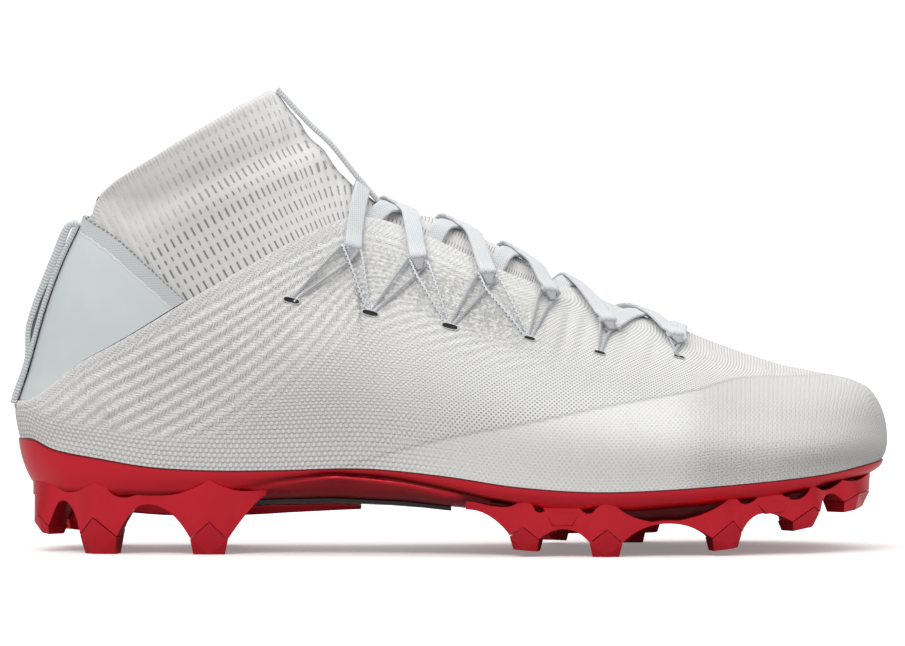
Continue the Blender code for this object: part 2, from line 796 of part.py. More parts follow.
def stud_rows(studs, ends):
    """Stations along one row of studs: x, low z, apex z, width, flare."""
    u, v = ends[0]
    rows = [(u, v, None, WEB_WIDTH, WEB_FLARE)]
    for k, stud in enumerate(studs):
        name, value = stud[0], dict(zip(STUD_COLUMNS, stud[1:]))
        rows.append((value["left"], value["seam_left"], None, STUD_SEAM_WIDTH, SEAM_FLARE))
        rows.append((value["peak"], value["seam_peak"], value["apex"], STUD_SEAM_WIDTH, SEAM_FLARE + STUD_CREASE))
        rows.append((value["right"], value["seam_right"], None, STUD_SEAM_WIDTH, SEAM_FLARE))
        if k + 1 < len(studs):
            after = dict(zip(STUD_COLUMNS, studs[k + 1][1:]))
            way, top_v = ARCH_TOPS[name]
            top_u = value["right"] + way * (after["left"] - value["right"])
            for share in (0.30, 0.70):
                u = value["right"] + share * (top_u - value["right"])
                v = value["seam_right"] + (1 - (1 - share) ** 2.2) * (top_v - value["seam_right"])
                rows.append((u, v, None, WEB_WIDTH, WEB_FLARE))
            rows.append((top_u, top_v, None, WEB_WIDTH, WEB_FLARE))
            for share in (0.70, 0.30):
                u = after["left"] + share * (top_u - after["left"])
                v = after["seam_left"] + (1 - (1 - share) ** 2.2) * (top_v - after["seam_left"])
                rows.append((u, v, None, WEB_WIDTH, WEB_FLARE))
    u, v = ends[1]
    rows.append((u, v, None, WEB_WIDTH, WEB_FLARE))
    return [(u * LENGTH, v * SOLE_HEIGHT, apex and apex * SOLE_HEIGHT, w, f) for u, v, apex, w, f in rows]


def make_skirt(name, side, studs, ends):
    """Stud bases and the webs between them: a wall of five-cornered sections."""
    wall = Side.pair[side]
    points = []
    for x, low, apex, width, flare in stud_rows(studs, ends):
        edge, inward = wall.edge(x), wall.inward(x)
        half = inward * PLATE_WALL / 2 + np.array([0, 0, PLATE_WALL / 2])
        upper_z = edge[2] + 0.0015 if apex is None else max(apex, edge[2] + 0.0015)
        top = wall.wall(x, upper_z) + inward * PLATE_WALL / 2
        base = width + (STUD_BASE_WIDTH - STUD_SEAM_WIDTH if width == STUD_SEAM_WIDTH else 0)
        inner_top = wall.under(x, base)
        low = min(low, edge[2] - GAP, inner_top[2] - GAP)
        inner_top[2] += PLATE_WALL / 2
        outer_low = edge - inward * flare
        inner_low = edge + inward * (width - flare)
        outer_low[2] = inner_low[2] = low
        points += [top, edge + half, inner_top, inner_low, outer_low]
    return add_object(name, points, loft_faces(len(points) // 5, 5))


def make_tip(name, side, stud):
    """The hard tip below a stud's seam."""
    wall = Side.pair[side]
    value = dict(zip(STUD_COLUMNS, stud[1:]))
    middle_share = (value["peak"] - value["left"]) / (value["right"] - value["left"])
    foot_peak = value["foot_left"] + middle_share * (value["foot_right"] - value["foot_left"])
    corners = (
        ("left", "seam_left", value["foot_left"], 0.0, FOOT_SHRINK),
        ("peak", "seam_peak", foot_peak, STUD_CREASE, 0.0),
        ("right", "seam_right", value["foot_right"], 0.0, -FOOT_SHRINK),
    )
    seam, foot = [], []
    for place, height, foot_height, crease, shrink in corners:
        x = value[place] * LENGTH
        edge, inward = wall.edge(x), wall.inward(x)
        for outer in (True, False):
            p = edge - inward * (SEAM_FLARE + crease) if outer else edge + inward * (STUD_SEAM_WIDTH - SEAM_FLARE - crease)
            p[2] = value[height] * SOLE_HEIGHT - GAP
            seam.append(p)
            q = edge + inward * (FOOT_INSET - crease if outer else FOOT_INSET + STUD_FOOT_WIDTH - crease)
            q[0] += shrink
            q[2] = foot_height * SOLE_HEIGHT
            foot.append(q)
    points = seam + foot
    faces = [(0, 2, 3, 1), (2, 4, 5, 3), (6, 7, 9, 8), (8, 9, 11, 10)]
    faces += [(0, 6, 8, 2), (2, 8, 10, 4), (4, 10, 11, 5), (5, 11, 9, 3), (3, 9, 7, 1), (1, 7, 6, 0)]
    return add_object(name, points, faces, material("red_tip", (0.48, 0.02, 0.04), 0.25, 0.8))


def make_centre_stud(name, station, foot_height):
    """A small conical stud in the middle of the forefoot."""
    x = station * LENGTH
    a, b = Side.pair[LATERAL].edge(x), Side.pair[MEDIAL].edge(x)
    centre = (a + b) / 2
    top = bottom_z(x, 0.5, a[2]) + PLATE_WALL / 2
    points = []
    for z, grow in ((top, 1.25), (foot_height * SOLE_HEIGHT, 0.85)):
        for k in range(10):
            turn = math.tau * k / 10
            spread = (CENTRE_STUD_LENGTH / 2 * math.cos(turn), CENTRE_STUD_WIDTH / 2 * math.sin(turn))
            points.append((centre[0] + grow * spread[0], centre[1] + grow * spread[1], z))
    faces = band(0, 10, 10) + [tuple(range(10)), tuple(range(19, 9, -1))]
    return add_object(name, points, faces)


def make_spine():
    """The bar under the heel that runs on below the shank and ends in a block."""
    line = side_line(SPINE, SOLE_HEIGHT)
    shank = SHANK_REACH[0] * LENGTH
    start, end = line.points[0, 0], line.points[-1, 0]
    stations = [*np.linspace(start, shank - 0.004, 5), *np.linspace(shank - 0.001, end, 6)]
    points = []
    for x in stations:
        low = line.at(line.share_at_x(x))[1]
        edge = Side.pair[LATERAL].edge(x)
        under = bottom_z(x, 0.5, edge[2])
        high = under + PLATE_WALL / 2 if x < shank - 0.002 else under - SHANK_WALL - 2 * GAP
        high = max(high, low + SPINE_WALL)
        y = (edge[1] + Side.pair[MEDIAL].edge(x)[1]) / 2
        top, foot = SPINE_WIDTH / 2, SPINE_WIDTH / 2 - SPINE_TAPER
        points += [(x, y - top, high), (x, y + top, high), (x, y + foot, low), (x, y - foot, low)]
    return add_object("spine", points, loft_faces(len(stations), 4))


def join(target, tools):
    """Fuse the tools into the target and remove them."""
    for tool in tools:
        cut = target.modifiers.new("join", "BOOLEAN")
        cut.operation, cut.solver, cut.object = "UNION", "EXACT", tool
    graph = bpy.context.evaluated_depsgraph_get()
    mesh = bpy.data.meshes.new_from_object(target.evaluated_get(graph))
    target.modifiers.clear()
    old = target.data
    target.data = mesh
    bpy.data.meshes.remove(old)
    for tool in tools:
        bpy.data.objects.remove(tool)
    body = bmesh.new()
    body.from_mesh(mesh)
    bmesh.ops.remove_doubles(body, verts=body.verts, dist=0.00002)
    bmesh.ops.dissolve_degenerate(body, edges=body.edges, dist=0.00002)
    bmesh.ops.triangulate(body, faces=body.faces)
    body.to_mesh(mesh)
    body.free()
    mesh.shade_smooth()
    mesh.set_sharp_from_angle(angle=math.radians(32))
    return target


def make_plate():
    Side.pair = {LATERAL: Side(LATERAL), MEDIAL: Side(MEDIAL)}
    plate = plate_cup()
    tools = []
    for label, side, studs in (("lateral", LATERAL, LATERAL_STUDS), ("medial", MEDIAL, MEDIAL_STUDS)):
        tools.append(make_skirt("heel_" + label, side, studs[:3], HEEL_ENDS))
        tools.append(make_skirt("fore_" + label, side, studs[3:], FORE_ENDS))
        for stud in studs:
            make_tip("tip_" + label + "_" + stud[0], side, stud)
    tools += [make_centre_stud("centre", *row) for row in CENTRE_STUDS]
    tools.append(make_spine())
    return join(plate, tools)


def make_insole():
    rim, middle, edge, inward = sidewall_rows()
    _, middle_in, low_in = cup_inside(rim, middle, edge, inward)
    foot = low_in + inward * INSOLE_INSET
    foot[:, 2] += INSOLE_LIFT
    share = np.clip(INSOLE_WALL / (middle_in[:, 2] - low_in[:, 2]), 0, 1)[:, None]
    top = low_in + (middle_in - low_in) * share + inward * INSOLE_INSET
    top[:, 2] = foot[:, 2] + INSOLE_WALL
    count = len(foot)
    under, faces_under = ladder(foot, 0, PLATE_WALL + INSOLE_LIFT)
    start = count + len(under)
    above, faces_above = ladder(top, start, PLATE_WALL + INSOLE_LIFT + INSOLE_WALL)
    points = np.vstack([foot, under, top, above])
    faces = faces_under + faces_above + band(0, start, count)
    return add_object("insole", points, faces, material("insole_foam", (0.05, 0.05, 0.06), 0.9))


def make_shank():
    """Black insert on the underside of the arch, on both sides of the spine's end."""
    stations = np.linspace(SHANK_REACH[0], SHANK_REACH[1], 8) * LENGTH
    shares = np.linspace(SHANK_EDGE, 1 - SHANK_EDGE, 6)
    low, high = [], []
    for x in stations:
        a, b = Side.pair[LATERAL].edge(x), Side.pair[MEDIAL].edge(x)
        for share in shares:
            y = a[1] + (b[1] - a[1]) * share
            z = bottom_z(x, share, a[2] + (b[2] - a[2]) * share) - GAP
            high.append((x, y, z))
            low.append((x, y, z - SHANK_WALL))
    rows, count = len(stations), len(shares)
    size = rows * count
    faces = grid_faces(rows, count, False)
    faces += [tuple(size + i for i in reversed(f)) for f in faces]
    outline = [i for i in range(count)]
    outline += [k * count + count - 1 for k in range(1, rows)]
    outline += [(rows - 1) * count + i for i in range(count - 2, -1, -1)]
    outline += [k * count for k in range(rows - 2, 0, -1)]
    faces += [(a, b, b + size, a + size) for a, b in zip(outline, outline[1:] + outline[:1])]
    return add_object("shank", high + low, faces, material("shank", (0.02, 0.02, 0.02), 0.35))


def skin(x, turn):
    """Outer surface by station and turn: 0 on the ridge, -1 and 1 at the two feather lines."""
    z = feather_z(x) + (crown_z(x) - feather_z(x)) * (1 - turn * turn)
    side = np.where(turn < 0, LATERAL, MEDIAL)
    lateral, medial = surface(x, z, LATERAL), surface(x, z, MEDIAL)
    return np.where((side == LATERAL)[..., None], lateral, medial)


def skin_normal(x, turn):
    along = skin(x + 0.0015, turn) - skin(x - 0.0015, turn)
    across = skin(x, turn + 0.03) - skin(x, turn - 0.03)
    normal = np.cross(along, across)
    return normal / np.linalg.norm(normal, axis=-1, keepdims=True)


def turn_at(x, z):
    return np.sqrt(1 - section_height(x, z))


def sweep(name, path, normals, width, wall, finish):
    """A flat bar along a path: its width lies across the run, in the plane of the skin."""
    run = np.gradient(path, axis=0)
    run /= np.linalg.norm(run, axis=1, keepdims=True)
    across = np.cross(run, normals)
    across /= np.linalg.norm(across, axis=1, keepdims=True)
    up = np.cross(across, run)
    points = []
    for p, a, n in zip(path, across, up):
        for i, j in ((-1, -1), (1, -1), (1, 1), (-1, 1)):
            points.append(p + a * i * width / 2 + n * j * wall / 2)
    return add_object(name, points, loft_faces(len(path), 4), finish)


def tube(name, path, diameter, finish):
    """A round cord along a path."""
    run = np.gradient(path, axis=0)
    run /= np.linalg.norm(run, axis=1, keepdims=True)
    normal = np.cross(run, (0.0, 0.0, 1.0))
    points = []
    for p, t, n in zip(path, run, normal):
        n = n / np.linalg.norm(n)
        b = np.cross(t, n)
        for k in range(LOOP_SIDES):
            turn = math.tau * k / LOOP_SIDES
            points.append(p + (n * math.cos(turn) + b * math.sin(turn)) * diameter / 2)
    return add_object(name, points, loft_faces(len(path), LOOP_SIDES), finish)


def lace_bar(start, crossing, end, lift, finish):
    """A lace from a lateral lacing point over the ridge to a medial one."""
    x0, z0 = start[0] * LENGTH, start[1] * INSTEP_HEIGHT
    x1, z1 = end[0] * LENGTH, end[1] * INSTEP_HEIGHT
    middle = crossing * LENGTH
    share = np.linspace(0, 1, LACE_STEPS + 1)
    x = np.concatenate([x0 + (middle - x0) * share, middle + (x1 - middle) * share[1:]])
    turn = np.concatenate([-turn_at(x0, z0) * (1 - share), turn_at(x1, z1) * share[1:]])
    normals = skin_normal(x, turn)
    throat = 1 - smooth(0.565, 0.61, crossing)
    sink = THROAT_SINK * throat * (1 - smooth(0.04, 0.20, np.abs(turn)))
    path = skin(x, turn) + normals * (2 * GAP + LACE_WALL / 2 + lift - sink)[:, None]
    return sweep("lace_bar", path, normals, LACE_WIDTH, LACE_WALL, finish)


def make_laces():
    finish = material("lace", (0.84, 0.86, 0.90), 0.8)
    points = LACE_POINTS
    bars = [lace_bar(points[0], CROSSINGS[0], points[0], LACE_BITE, finish)]
    for k, crossing in enumerate(CROSSINGS[1:]):
        bars.append(lace_bar(points[k], crossing, points[k + 1], 0.0, finish))
        bars.append(lace_bar(points[k + 1], crossing, points[k], LACE_LIFT, finish))
    bars.append(lace_bar(points[-1], TOE_BAR_CROSSING, points[-1], LACE_BITE, finish))
    laces = join(bars[0], bars[1:])
    laces.name = "laces"
    return laces


def make_lace_loops():
    """A cord loop at each lacing point, up from the two holes that hold its ends."""
    finish = material("loop_cord", (0.62, 0.63, 0.66), 0.6)
    for k, ((station, height), ends) in enumerate(zip(LACE_POINTS, LOOP_ENDS)):
        top_x, top_turn = station * LENGTH, turn_at(station * LENGTH, height * INSTEP_HEIGHT)
        corners = [(u * LENGTH, turn_at(u * LENGTH, v * INSTEP_HEIGHT)) for u, v in ends]
        for side, label in ((LATERAL, "lateral"), (MEDIAL, "medial")):
            (xa, ta), (xb, tb) = corners
            step = top_turn + LOOP_DROP / SKIN_REACH
            share = np.linspace(0, 1, LOOP_STEPS + 1)
            arch = LACE_WIDTH / 2
            x = np.concatenate([xa + (top_x - arch - xa) * share, xb + (top_x + arch - xb) * share[::-1]])
            turn = np.concatenate([ta + (step - ta) * share, tb + (step - tb) * share[::-1]])
            path = skin(x, side * turn) + skin_normal(x, side * turn) * (2 * GAP + LOOP_DIAMETER / 2)
            tube(f"lace_loop_{label}_{k + 1}", path, LOOP_DIAMETER, finish)


def make_tongue_pull():
    start = ridge_line.share_at_x(PULL_END * LENGTH)
    front = ridge_line.between(start, 1)
    share = np.linspace(0, TONGUE_PULL[-1, 0], 14)
    standoff = np.interp(share, TONGUE_PULL[:, 0], TONGUE_PULL[:, 1]) * PULL_STANDOFF
    run = front.at(1 - share + 0.01) - front.at(1 - share - 0.01)
    run /= np.linalg.norm(run, axis=1, keepdims=True)
    outward = np.stack([run[:, 1], -run[:, 0]], axis=1)
    flat = front.at(1 - share) + outward * (standoff - UPPER_WALL - SOCK_GAP)[:, None]
    y = middle_y(PULL_END * LENGTH, COLLAR_FRONT_HEIGHT)
    path = np.stack([flat[:, 0], np.full(len(flat), y), flat[:, 1]], axis=1)
    normals = np.stack([outward[:, 0], np.zeros(len(flat)), outward[:, 1]], axis=1)
    finish = material("webbing", (0.72, 0.74, 0.76), 0.8)
    return sweep("tongue_pull", path, normals, TONGUE_PULL_WIDTH, TONGUE_PULL_WALL, finish)


def make_heel_pull():
    """A webbing loop up the heel: outer strap, inner strap and the slot between them."""
    heights = np.array([HEEL_PULL_FOOT, SLOT_FOOT, SLOT_HEAD, HEEL_PULL_HEAD]) * COLLAR_BACK_HEIGHT
    foot, slot_foot, slot_head, head = heights
    share = np.linspace(0, 1, 9)
    z = slot_foot + (slot_head - slot_foot) * share
    near = np.stack([back_x(z) - 0.5 * GAP, z], axis=1)
    near_in = near - (HEEL_PULL_WALL, 0)
    slot = SLOT_WIDTH + SLOT_OPENING * share
    far_in = near_in - np.stack([slot, 0 * slot], axis=1)
    far = far_in - (HEEL_PULL_WALL, 0)
    low_near = np.array([back_x(foot) - 0.5 * GAP, foot])
    low_far = low_near - (HEEL_PULL_WALL, 0)
    high = np.array([back_x(head) - 0.5 * GAP, head])
    outline = np.vstack([near, high, far[::-1], low_far, low_near])
    top = (near_in[-1] + far_in[-1]) / 2
    foot_far = 0.3 * near_in[0] + 0.7 * far_in[0]
    foot_near = 0.7 * near_in[0] + 0.3 * far_in[0]
    slot = np.vstack([near_in, top, far_in[::-1], foot_far, foot_near])
    count = len(outline)
    points = []
    for y in (-HEEL_PULL_WIDTH / 2, HEEL_PULL_WIDTH / 2):
        for ring in (outline, slot):
            points += [(px, y, pz) for px, pz in ring]
    faces = band(0, count, count) + band(2 * count, 3 * count, count)
    faces += band(0, 2 * count, count) + band(count, 3 * count, count)
    return add_object("heel_pull", points, faces, material("webbing", (0.72, 0.74, 0.76), 0.8))


def centre_on_origin():
    """Put the middle of the shoe's bounding box over the origin, with the studs on z = 0."""
    corners = np.array([v.co for obj in bpy.data.objects for v in obj.data.vertices])
    middle = (corners.min(axis=0) + corners.max(axis=0)) / 2
    shift = Vector((-middle[0], -middle[1], -corners[:, 2].min()))
    for obj in bpy.data.objects:
        for vertex in obj.data.vertices:
            vertex.co += shift


def clear_scene():
    for obj in list(bpy.data.objects):
        bpy.data.objects.remove(obj)


def main():
    clear_scene()
    make_upper()
    make_collar()
    make_heel_film()
    make_plate()
    make_insole()
    make_shank()
    make_tongue_pull()
    make_heel_pull()
    make_laces()
    make_lace_loops()
    centre_on_origin()


main()
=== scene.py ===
import math

import bmesh
import bpy
import numpy as np
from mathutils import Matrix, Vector


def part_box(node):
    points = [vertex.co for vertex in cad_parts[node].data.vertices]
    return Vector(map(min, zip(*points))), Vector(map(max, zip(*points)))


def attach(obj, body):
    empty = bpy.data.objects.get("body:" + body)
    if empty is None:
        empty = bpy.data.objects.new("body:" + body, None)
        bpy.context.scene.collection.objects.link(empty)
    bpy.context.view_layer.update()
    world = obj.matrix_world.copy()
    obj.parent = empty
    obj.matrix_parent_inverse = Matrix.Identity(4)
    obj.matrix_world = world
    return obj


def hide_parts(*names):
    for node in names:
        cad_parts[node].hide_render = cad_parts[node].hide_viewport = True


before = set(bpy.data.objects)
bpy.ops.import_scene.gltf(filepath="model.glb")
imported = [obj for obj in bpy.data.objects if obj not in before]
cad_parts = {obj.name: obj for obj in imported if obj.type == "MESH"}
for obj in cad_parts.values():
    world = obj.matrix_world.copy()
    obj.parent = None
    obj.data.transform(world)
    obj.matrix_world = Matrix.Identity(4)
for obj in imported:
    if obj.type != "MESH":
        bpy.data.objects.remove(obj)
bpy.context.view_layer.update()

# Overall sizes of the shoe, in metres
LENGTH = 0.295
BALL_WIDTH = 0.104
SOLE_HEIGHT = 0.030
INSTEP_HEIGHT = 0.118
COLLAR_BACK_HEIGHT = 0.117
COLLAR_FRONT_HEIGHT = 0.158
ANKLE_WIDTH = 0.060
TOE_SWING = 0.007
CROWN_LEAN = 0.004
# How far a section swells above the feather line, as a share of its half-width
BULGE = 0.06

# Walls and gaps
UPPER_WALL = 0.0016
SOCK_WALL = 0.0018
FILM_WALL = 0.0010
PLATE_WALL = 0.0022
RIM_PROUD = 0.0005
TOE_EDGE_DROP = 0.0024
GAP = 0.0003
SOCK_GAP = 0.0010

# How far the toe and the heel round off in plan, and the nose in side view
TOE_ROUND = 0.038
HEEL_ROUND = 0.045
ANKLE_ROUND = 0.030
NOSE_HEIGHT = 0.0395

# Studs: widths across the shoe at the plate, at the seam and of the web between studs, and
# how far the outer face stands off the plate's lower edge
STUD_BASE_WIDTH = 0.0115
STUD_SEAM_WIDTH = 0.0090
WEB_WIDTH = 0.0045
SEAM_FLARE = 0.0012
WEB_FLARE = 0.0003
STUD_CREASE = 0.0012

# Shank insert and spine bar under the arch
SHANK_WALL = 0.0012
SPINE_WIDTH = 0.012
SPINE_WALL = 0.0012
SPINE_TAPER = 0.0015

# Pull straps and laces
HEEL_PULL_WIDTH = 0.014
HEEL_PULL_WALL = 0.0010
# Dark sheet between the heel pull's two straps, painted shade in their gap
STRAP_GAP_SHADE_WIDTH = 0.0115
STRAP_GAP_SHADE_WALL = 0.001
TONGUE_PULL_WIDTH = 0.012
TONGUE_PULL_WALL = 0.0015
LACE_WIDTH = 0.0060
LACE_WALL = 0.0011
LACE_BITE = 0.0002
OVER_LIFT = LACE_WALL + 0.0002
TUCK_DEPTH = 0.0026
THROAT_SINK = 0.0017

# Columns, and rows where there are two, of the fine meshes; SOLE_COLUMNS as in the solids
UPPER_FINE = (250, 105)
SOCK_FINE = (190, 70)
FILM_FINE = (90, 50)
PLATE_FINE = 150
SOLE_COLUMNS = 25
# Stations and turns of the table of distances over the skin, and its station of no distance
SKIN_TABLE = (220, 90, 132)

LATERAL, MEDIAL = -1, 1
SIDES = (("lateral", LATERAL), ("medial", MEDIAL))
MM = 1000.0

# Feather line, where the upper meets the plate.
# station: share of LENGTH, height: share of SOLE_HEIGHT
FEATHER = (
    (0.0057, 1.267), (0.022, 1.275), (0.049, 1.165), (0.1, 1.08), (0.159, 0.99), (0.227, 0.955),
    (0.3, 0.96), (0.38, 0.985), (0.43, 0.968), (0.5, 0.897), (0.57, 0.797), (0.65, 0.74),
    (0.72, 0.747), (0.8, 0.79), (0.87, 0.845), (0.93, 0.905), (0.97, 0.975), (0.9935, 1.015),
)

# Centre line of the outer surface, seen from the side: from the feather line at the toe,
# round the nose, up the vamp and instep to the front of the collar.
# station: share of LENGTH, height: share of INSTEP_HEIGHT
RIDGE = (
    (0.9935, 0.2581), (0.9977, 0.279), (1.0, 0.319), (0.9977, 0.3704), (0.9909, 0.419),
    (0.9794, 0.459), (0.968, 0.476), (0.9543, 0.489), (0.9291, 0.5018), (0.904, 0.5133),
    (0.8789, 0.527), (0.8537, 0.546), (0.8309, 0.564), (0.8057, 0.587), (0.7851, 0.607),
    (0.7691, 0.624), (0.7211, 0.665), (0.696, 0.689), (0.6777, 0.709), (0.6526, 0.736),
    (0.6269, 0.77), (0.6063, 0.805), (0.5648, 0.8655), (0.542, 0.894), (0.4985, 0.9426),
    (0.48, 0.96), (0.4501, 0.9745), (0.4323, 0.991), (0.4181, 1.0132), (0.4069, 1.0326),
    (0.3957, 1.0523), (0.3838, 1.081), (0.3757, 1.1025), (0.3688, 1.125), (0.3557, 1.172),
    (0.3387, 1.2254), (0.3224, 1.27), (0.3115, 1.3086), (0.3021, 1.335),
)

# The crown that the side walls lean towards behind the front of the collar
# station: share of LENGTH, height: share of INSTEP_HEIGHT
ANKLE_CROWN = ((0.2710, 1.44), (0.2140, 1.72), (0.0990, 2.20), (0.0000, 2.50))

# Line of the heel's back. height: share of COLLAR_BACK_HEIGHT, station: share of LENGTH
BACK = (
    (0.325, 0.0057), (0.374, 0.0017), (0.417, 0.0), (0.46, 0.0045), (0.518, 0.0125),
    (0.59, 0.0205), (0.72, 0.0355), (0.84, 0.0535), (0.935, 0.0712), (0.985, 0.0795),
    (1.022, 0.086),
)

# Top edge of the shell: the slanting topline, then the edge of the throat down to its end.
# station: share of LENGTH, height: share of INSTEP_HEIGHT
TOPLINE = (
    (0.0006, 0.4277), (0.022, 0.443), (0.0446, 0.484), (0.073, 0.542), (0.129, 0.621),
    (0.199, 0.727), (0.278, 0.839), (0.318, 0.893), (0.353, 0.934), (0.383, 0.958),
    (0.415, 0.953), (0.456, 0.92), (0.494, 0.88), (0.534, 0.833), (0.568, 0.796), (0.608, 0.76),
    (0.637, 0.756),
)

# Lower edge of the sock, tucked under the shell and on to the end of the tongue
SOCK_FOOT = (
    (0.0017, 0.376), (0.03, 0.395), (0.073, 0.476), (0.129, 0.555), (0.199, 0.66), (0.278, 0.77),
    (0.343, 0.842), (0.4, 0.868), (0.456, 0.825), (0.52, 0.76), (0.59, 0.69), (0.65, 0.695),
)

# Top edge of the collar. station: share of LENGTH, height: share of COLLAR_FRONT_HEIGHT
COLLAR_TOP = (
    (0.0795, 0.729), (0.085, 0.757), (0.099, 0.782), (0.1147, 0.803), (0.1451, 0.8354),
    (0.2, 0.893), (0.2549, 0.9506), (0.2823, 0.98), (0.3021, 0.997),
)

# Station, lateral and medial half-width at the feather line before the ends round off, as
# shares of LENGTH and BALL_WIDTH, and exponent of the section's arch
PLAN = np.array((
    (0.0, 0.335, 0.335, 3.0), (0.1, 0.34, 0.34, 3.0), (0.2, 0.345, 0.33, 3.0),
    (0.3, 0.36, 0.31, 2.6), (0.42, 0.4, 0.3, 2.2), (0.52, 0.455, 0.34, 2.0),
    (0.62, 0.505, 0.42, 2.0), (0.7, 0.515, 0.475, 2.1), (0.78, 0.49, 0.48, 2.2),
    (0.86, 0.445, 0.46, 2.3), (0.93, 0.395, 0.415, 2.4), (1.0, 0.345, 0.365, 2.4),
))

# Plate under the feather line: station, share of LENGTH; heights of the sidewall's lower
# edge and of the middle of the bottom, shares of SOLE_HEIGHT; and how far the sidewall runs
# in at its lower edge, share of BALL_WIDTH
SOLE = np.array((
    (0.0, 0.8, 0.64, 0.036), (0.05, 0.68, 0.59, 0.04), (0.1, 0.66, 0.57, 0.042),
    (0.16, 0.65, 0.56, 0.042), (0.227, 0.68, 0.56, 0.046), (0.3, 0.72, 0.58, 0.06),
    (0.366, 0.78, 0.59, 0.07), (0.45, 0.7, 0.56, 0.065), (0.51, 0.61, 0.5, 0.055),
    (0.57, 0.55, 0.45, 0.048), (0.65, 0.525, 0.42, 0.045), (0.72, 0.53, 0.43, 0.045),
    (0.8, 0.59, 0.48, 0.045), (0.87, 0.65, 0.56, 0.045), (0.92, 0.72, 0.64, 0.045),
    (0.97, 0.88, 0.8, 0.038), (1.0, 0.96, 0.9, 0.036),
))

# Studs, as shares of LENGTH along and SOLE_HEIGHT up. left, peak, right: corners and
# ridge at the seam between base and tip; seam_left, seam_peak, seam_right: its heights;
# apex: top of the ridge up the sidewall
STUD_COLUMNS = ("name", "left", "peak", "right", "seam_left", "seam_peak", "seam_right", "apex")
LATERAL_STUDS = (
    ("heel_1", 0.0260, 0.0340, 0.0420, 0.350, 0.420, 0.300, 0.800),
    ("heel_2", 0.0780, 0.0940, 0.1190, 0.217, 0.413, 0.200, 0.823),
    ("heel_3", 0.2020, 0.2240, 0.2450, 0.183, 0.374, 0.172, 0.863),
    ("fore_1", 0.5670, 0.5830, 0.6005, 0.240, 0.340, 0.200, 0.620),
    ("fore_2", 0.6575, 0.6765, 0.6945, 0.161, 0.312, 0.161, 0.600),
    ("fore_3", 0.7965, 0.8195, 0.8300, 0.206, 0.403, 0.266, 0.640),
    ("fore_4", 0.8875, 0.9097, 0.9177, 0.374, 0.536, 0.470, 0.710),
    ("fore_5", 0.9463, 0.9600, 0.9755, 0.570, 0.660, 0.678, 0.820),
)
MEDIAL_STUDS = (
    ("heel_1", 0.0400, 0.0510, 0.0640, 0.330, 0.400, 0.280, 0.780),
    ("heel_2", 0.0830, 0.0980, 0.1190, 0.217, 0.413, 0.200, 0.823),
    LATERAL_STUDS[2],
    ("fore_1", 0.5950, 0.6110, 0.6285, 0.210, 0.320, 0.180, 0.620),
    ("fore_2", 0.6825, 0.7015, 0.7195, 0.161, 0.312, 0.161, 0.600),
    *LATERAL_STUDS[5:],
)
# Studs whose ridge reaches far along the sidewall, and the reach of theirs and the others
BIG_STUDS = ("heel_2", "heel_3", "fore_2")
BIG_RIDGE, SMALL_RIDGE = 0.055, 0.038
RIDGE_POWER = 2.4
# Exponents of the arches between studs, and of the last one of the heel
ARCH_POWER, HEEL_END_POWER = 2.2, 1.3
# Spacing of the fine rows along the studs, in metres
STUD_STEP = 0.0011
# Groove and ridge along the arch, in metres
GROOVE_DEPTH, RIDGE_HEIGHT = 0.0017, 0.0005

# Tops of the arches between a stud and the next: share of the way between them, height
ARCH_TOPS = {
    "heel_1": (0.40, 0.593),
    "heel_2": (0.41, 0.565),
    "fore_1": (0.49, 0.313),
    "fore_2": (0.50, 0.370),
    "fore_3": (0.46, 0.470),
    "fore_4": (0.50, 0.670),
}
# Where each row of studs starts and ends on the sidewall: station and height
HEEL_ENDS = ((0.0222, 0.700), (0.2890, 0.672))
FORE_ENDS = ((0.5166, 0.525), (0.9785, 0.830))

# Small studs in the middle of the forefoot: station, and height of the foot
CENTRE_STUDS = ((0.640, 0.190), (0.716, 0.190))
CENTRE_STUD_LENGTH = 0.014
CENTRE_STUD_WIDTH = 0.009

# Spine bar under the heel and the shank. station, and height of its bottom
SPINE = (
    (0.11, 0.44), (0.18, 0.39), (0.262, 0.397), (0.32, 0.43), (0.384, 0.463), (0.397, 0.465),
)
SHANK_REACH = (0.262, 0.500)

# Lacing points on the side: station: share of LENGTH, height: share of INSTEP_HEIGHT
LACE_POINTS = (
    (0.385, 0.852), (0.463, 0.812), (0.5415, 0.769), (0.6115, 0.72), (0.679, 0.634),
    (0.757, 0.59),
)
# Where each lace crosses the ridge, towards the heel from its lacing point
CROSSINGS = (0.401, 0.444, 0.509, 0.576, 0.633, 0.7195)
TOE_BAR_CROSSING = 0.760
# Station where the tongue pull ends
PULL_END = 0.4323


def catmull(points, samples=12):
    """A smooth polyline through the points."""
    p = np.array(points, float)
    p = np.vstack([2 * p[0] - p[1], p, 2 * p[-1] - p[-2]])
    out = []
    for a, b, c, d in zip(p, p[1:], p[2:], p[3:]):
        square, cube = 2 * a - 5 * b + 4 * c - d, 3 * b - a - 3 * c + d
        for t in np.linspace(0, 1, samples, endpoint=False):
            out.append(0.5 * (2 * b + (c - a) * t + square * t**2 + cube * t**3))
    return np.array(out + [p[-2]])


def headings(points):
    """Unit vectors along a row of points."""
    run = np.gradient(points, axis=0)
    return run / np.linalg.norm(run, axis=1, keepdims=True)


def distances(points):
    """Distance along a row of points to each of them."""
    steps = np.linalg.norm(np.diff(points, axis=0), axis=1)
    return np.concatenate([[0], np.cumsum(steps)])


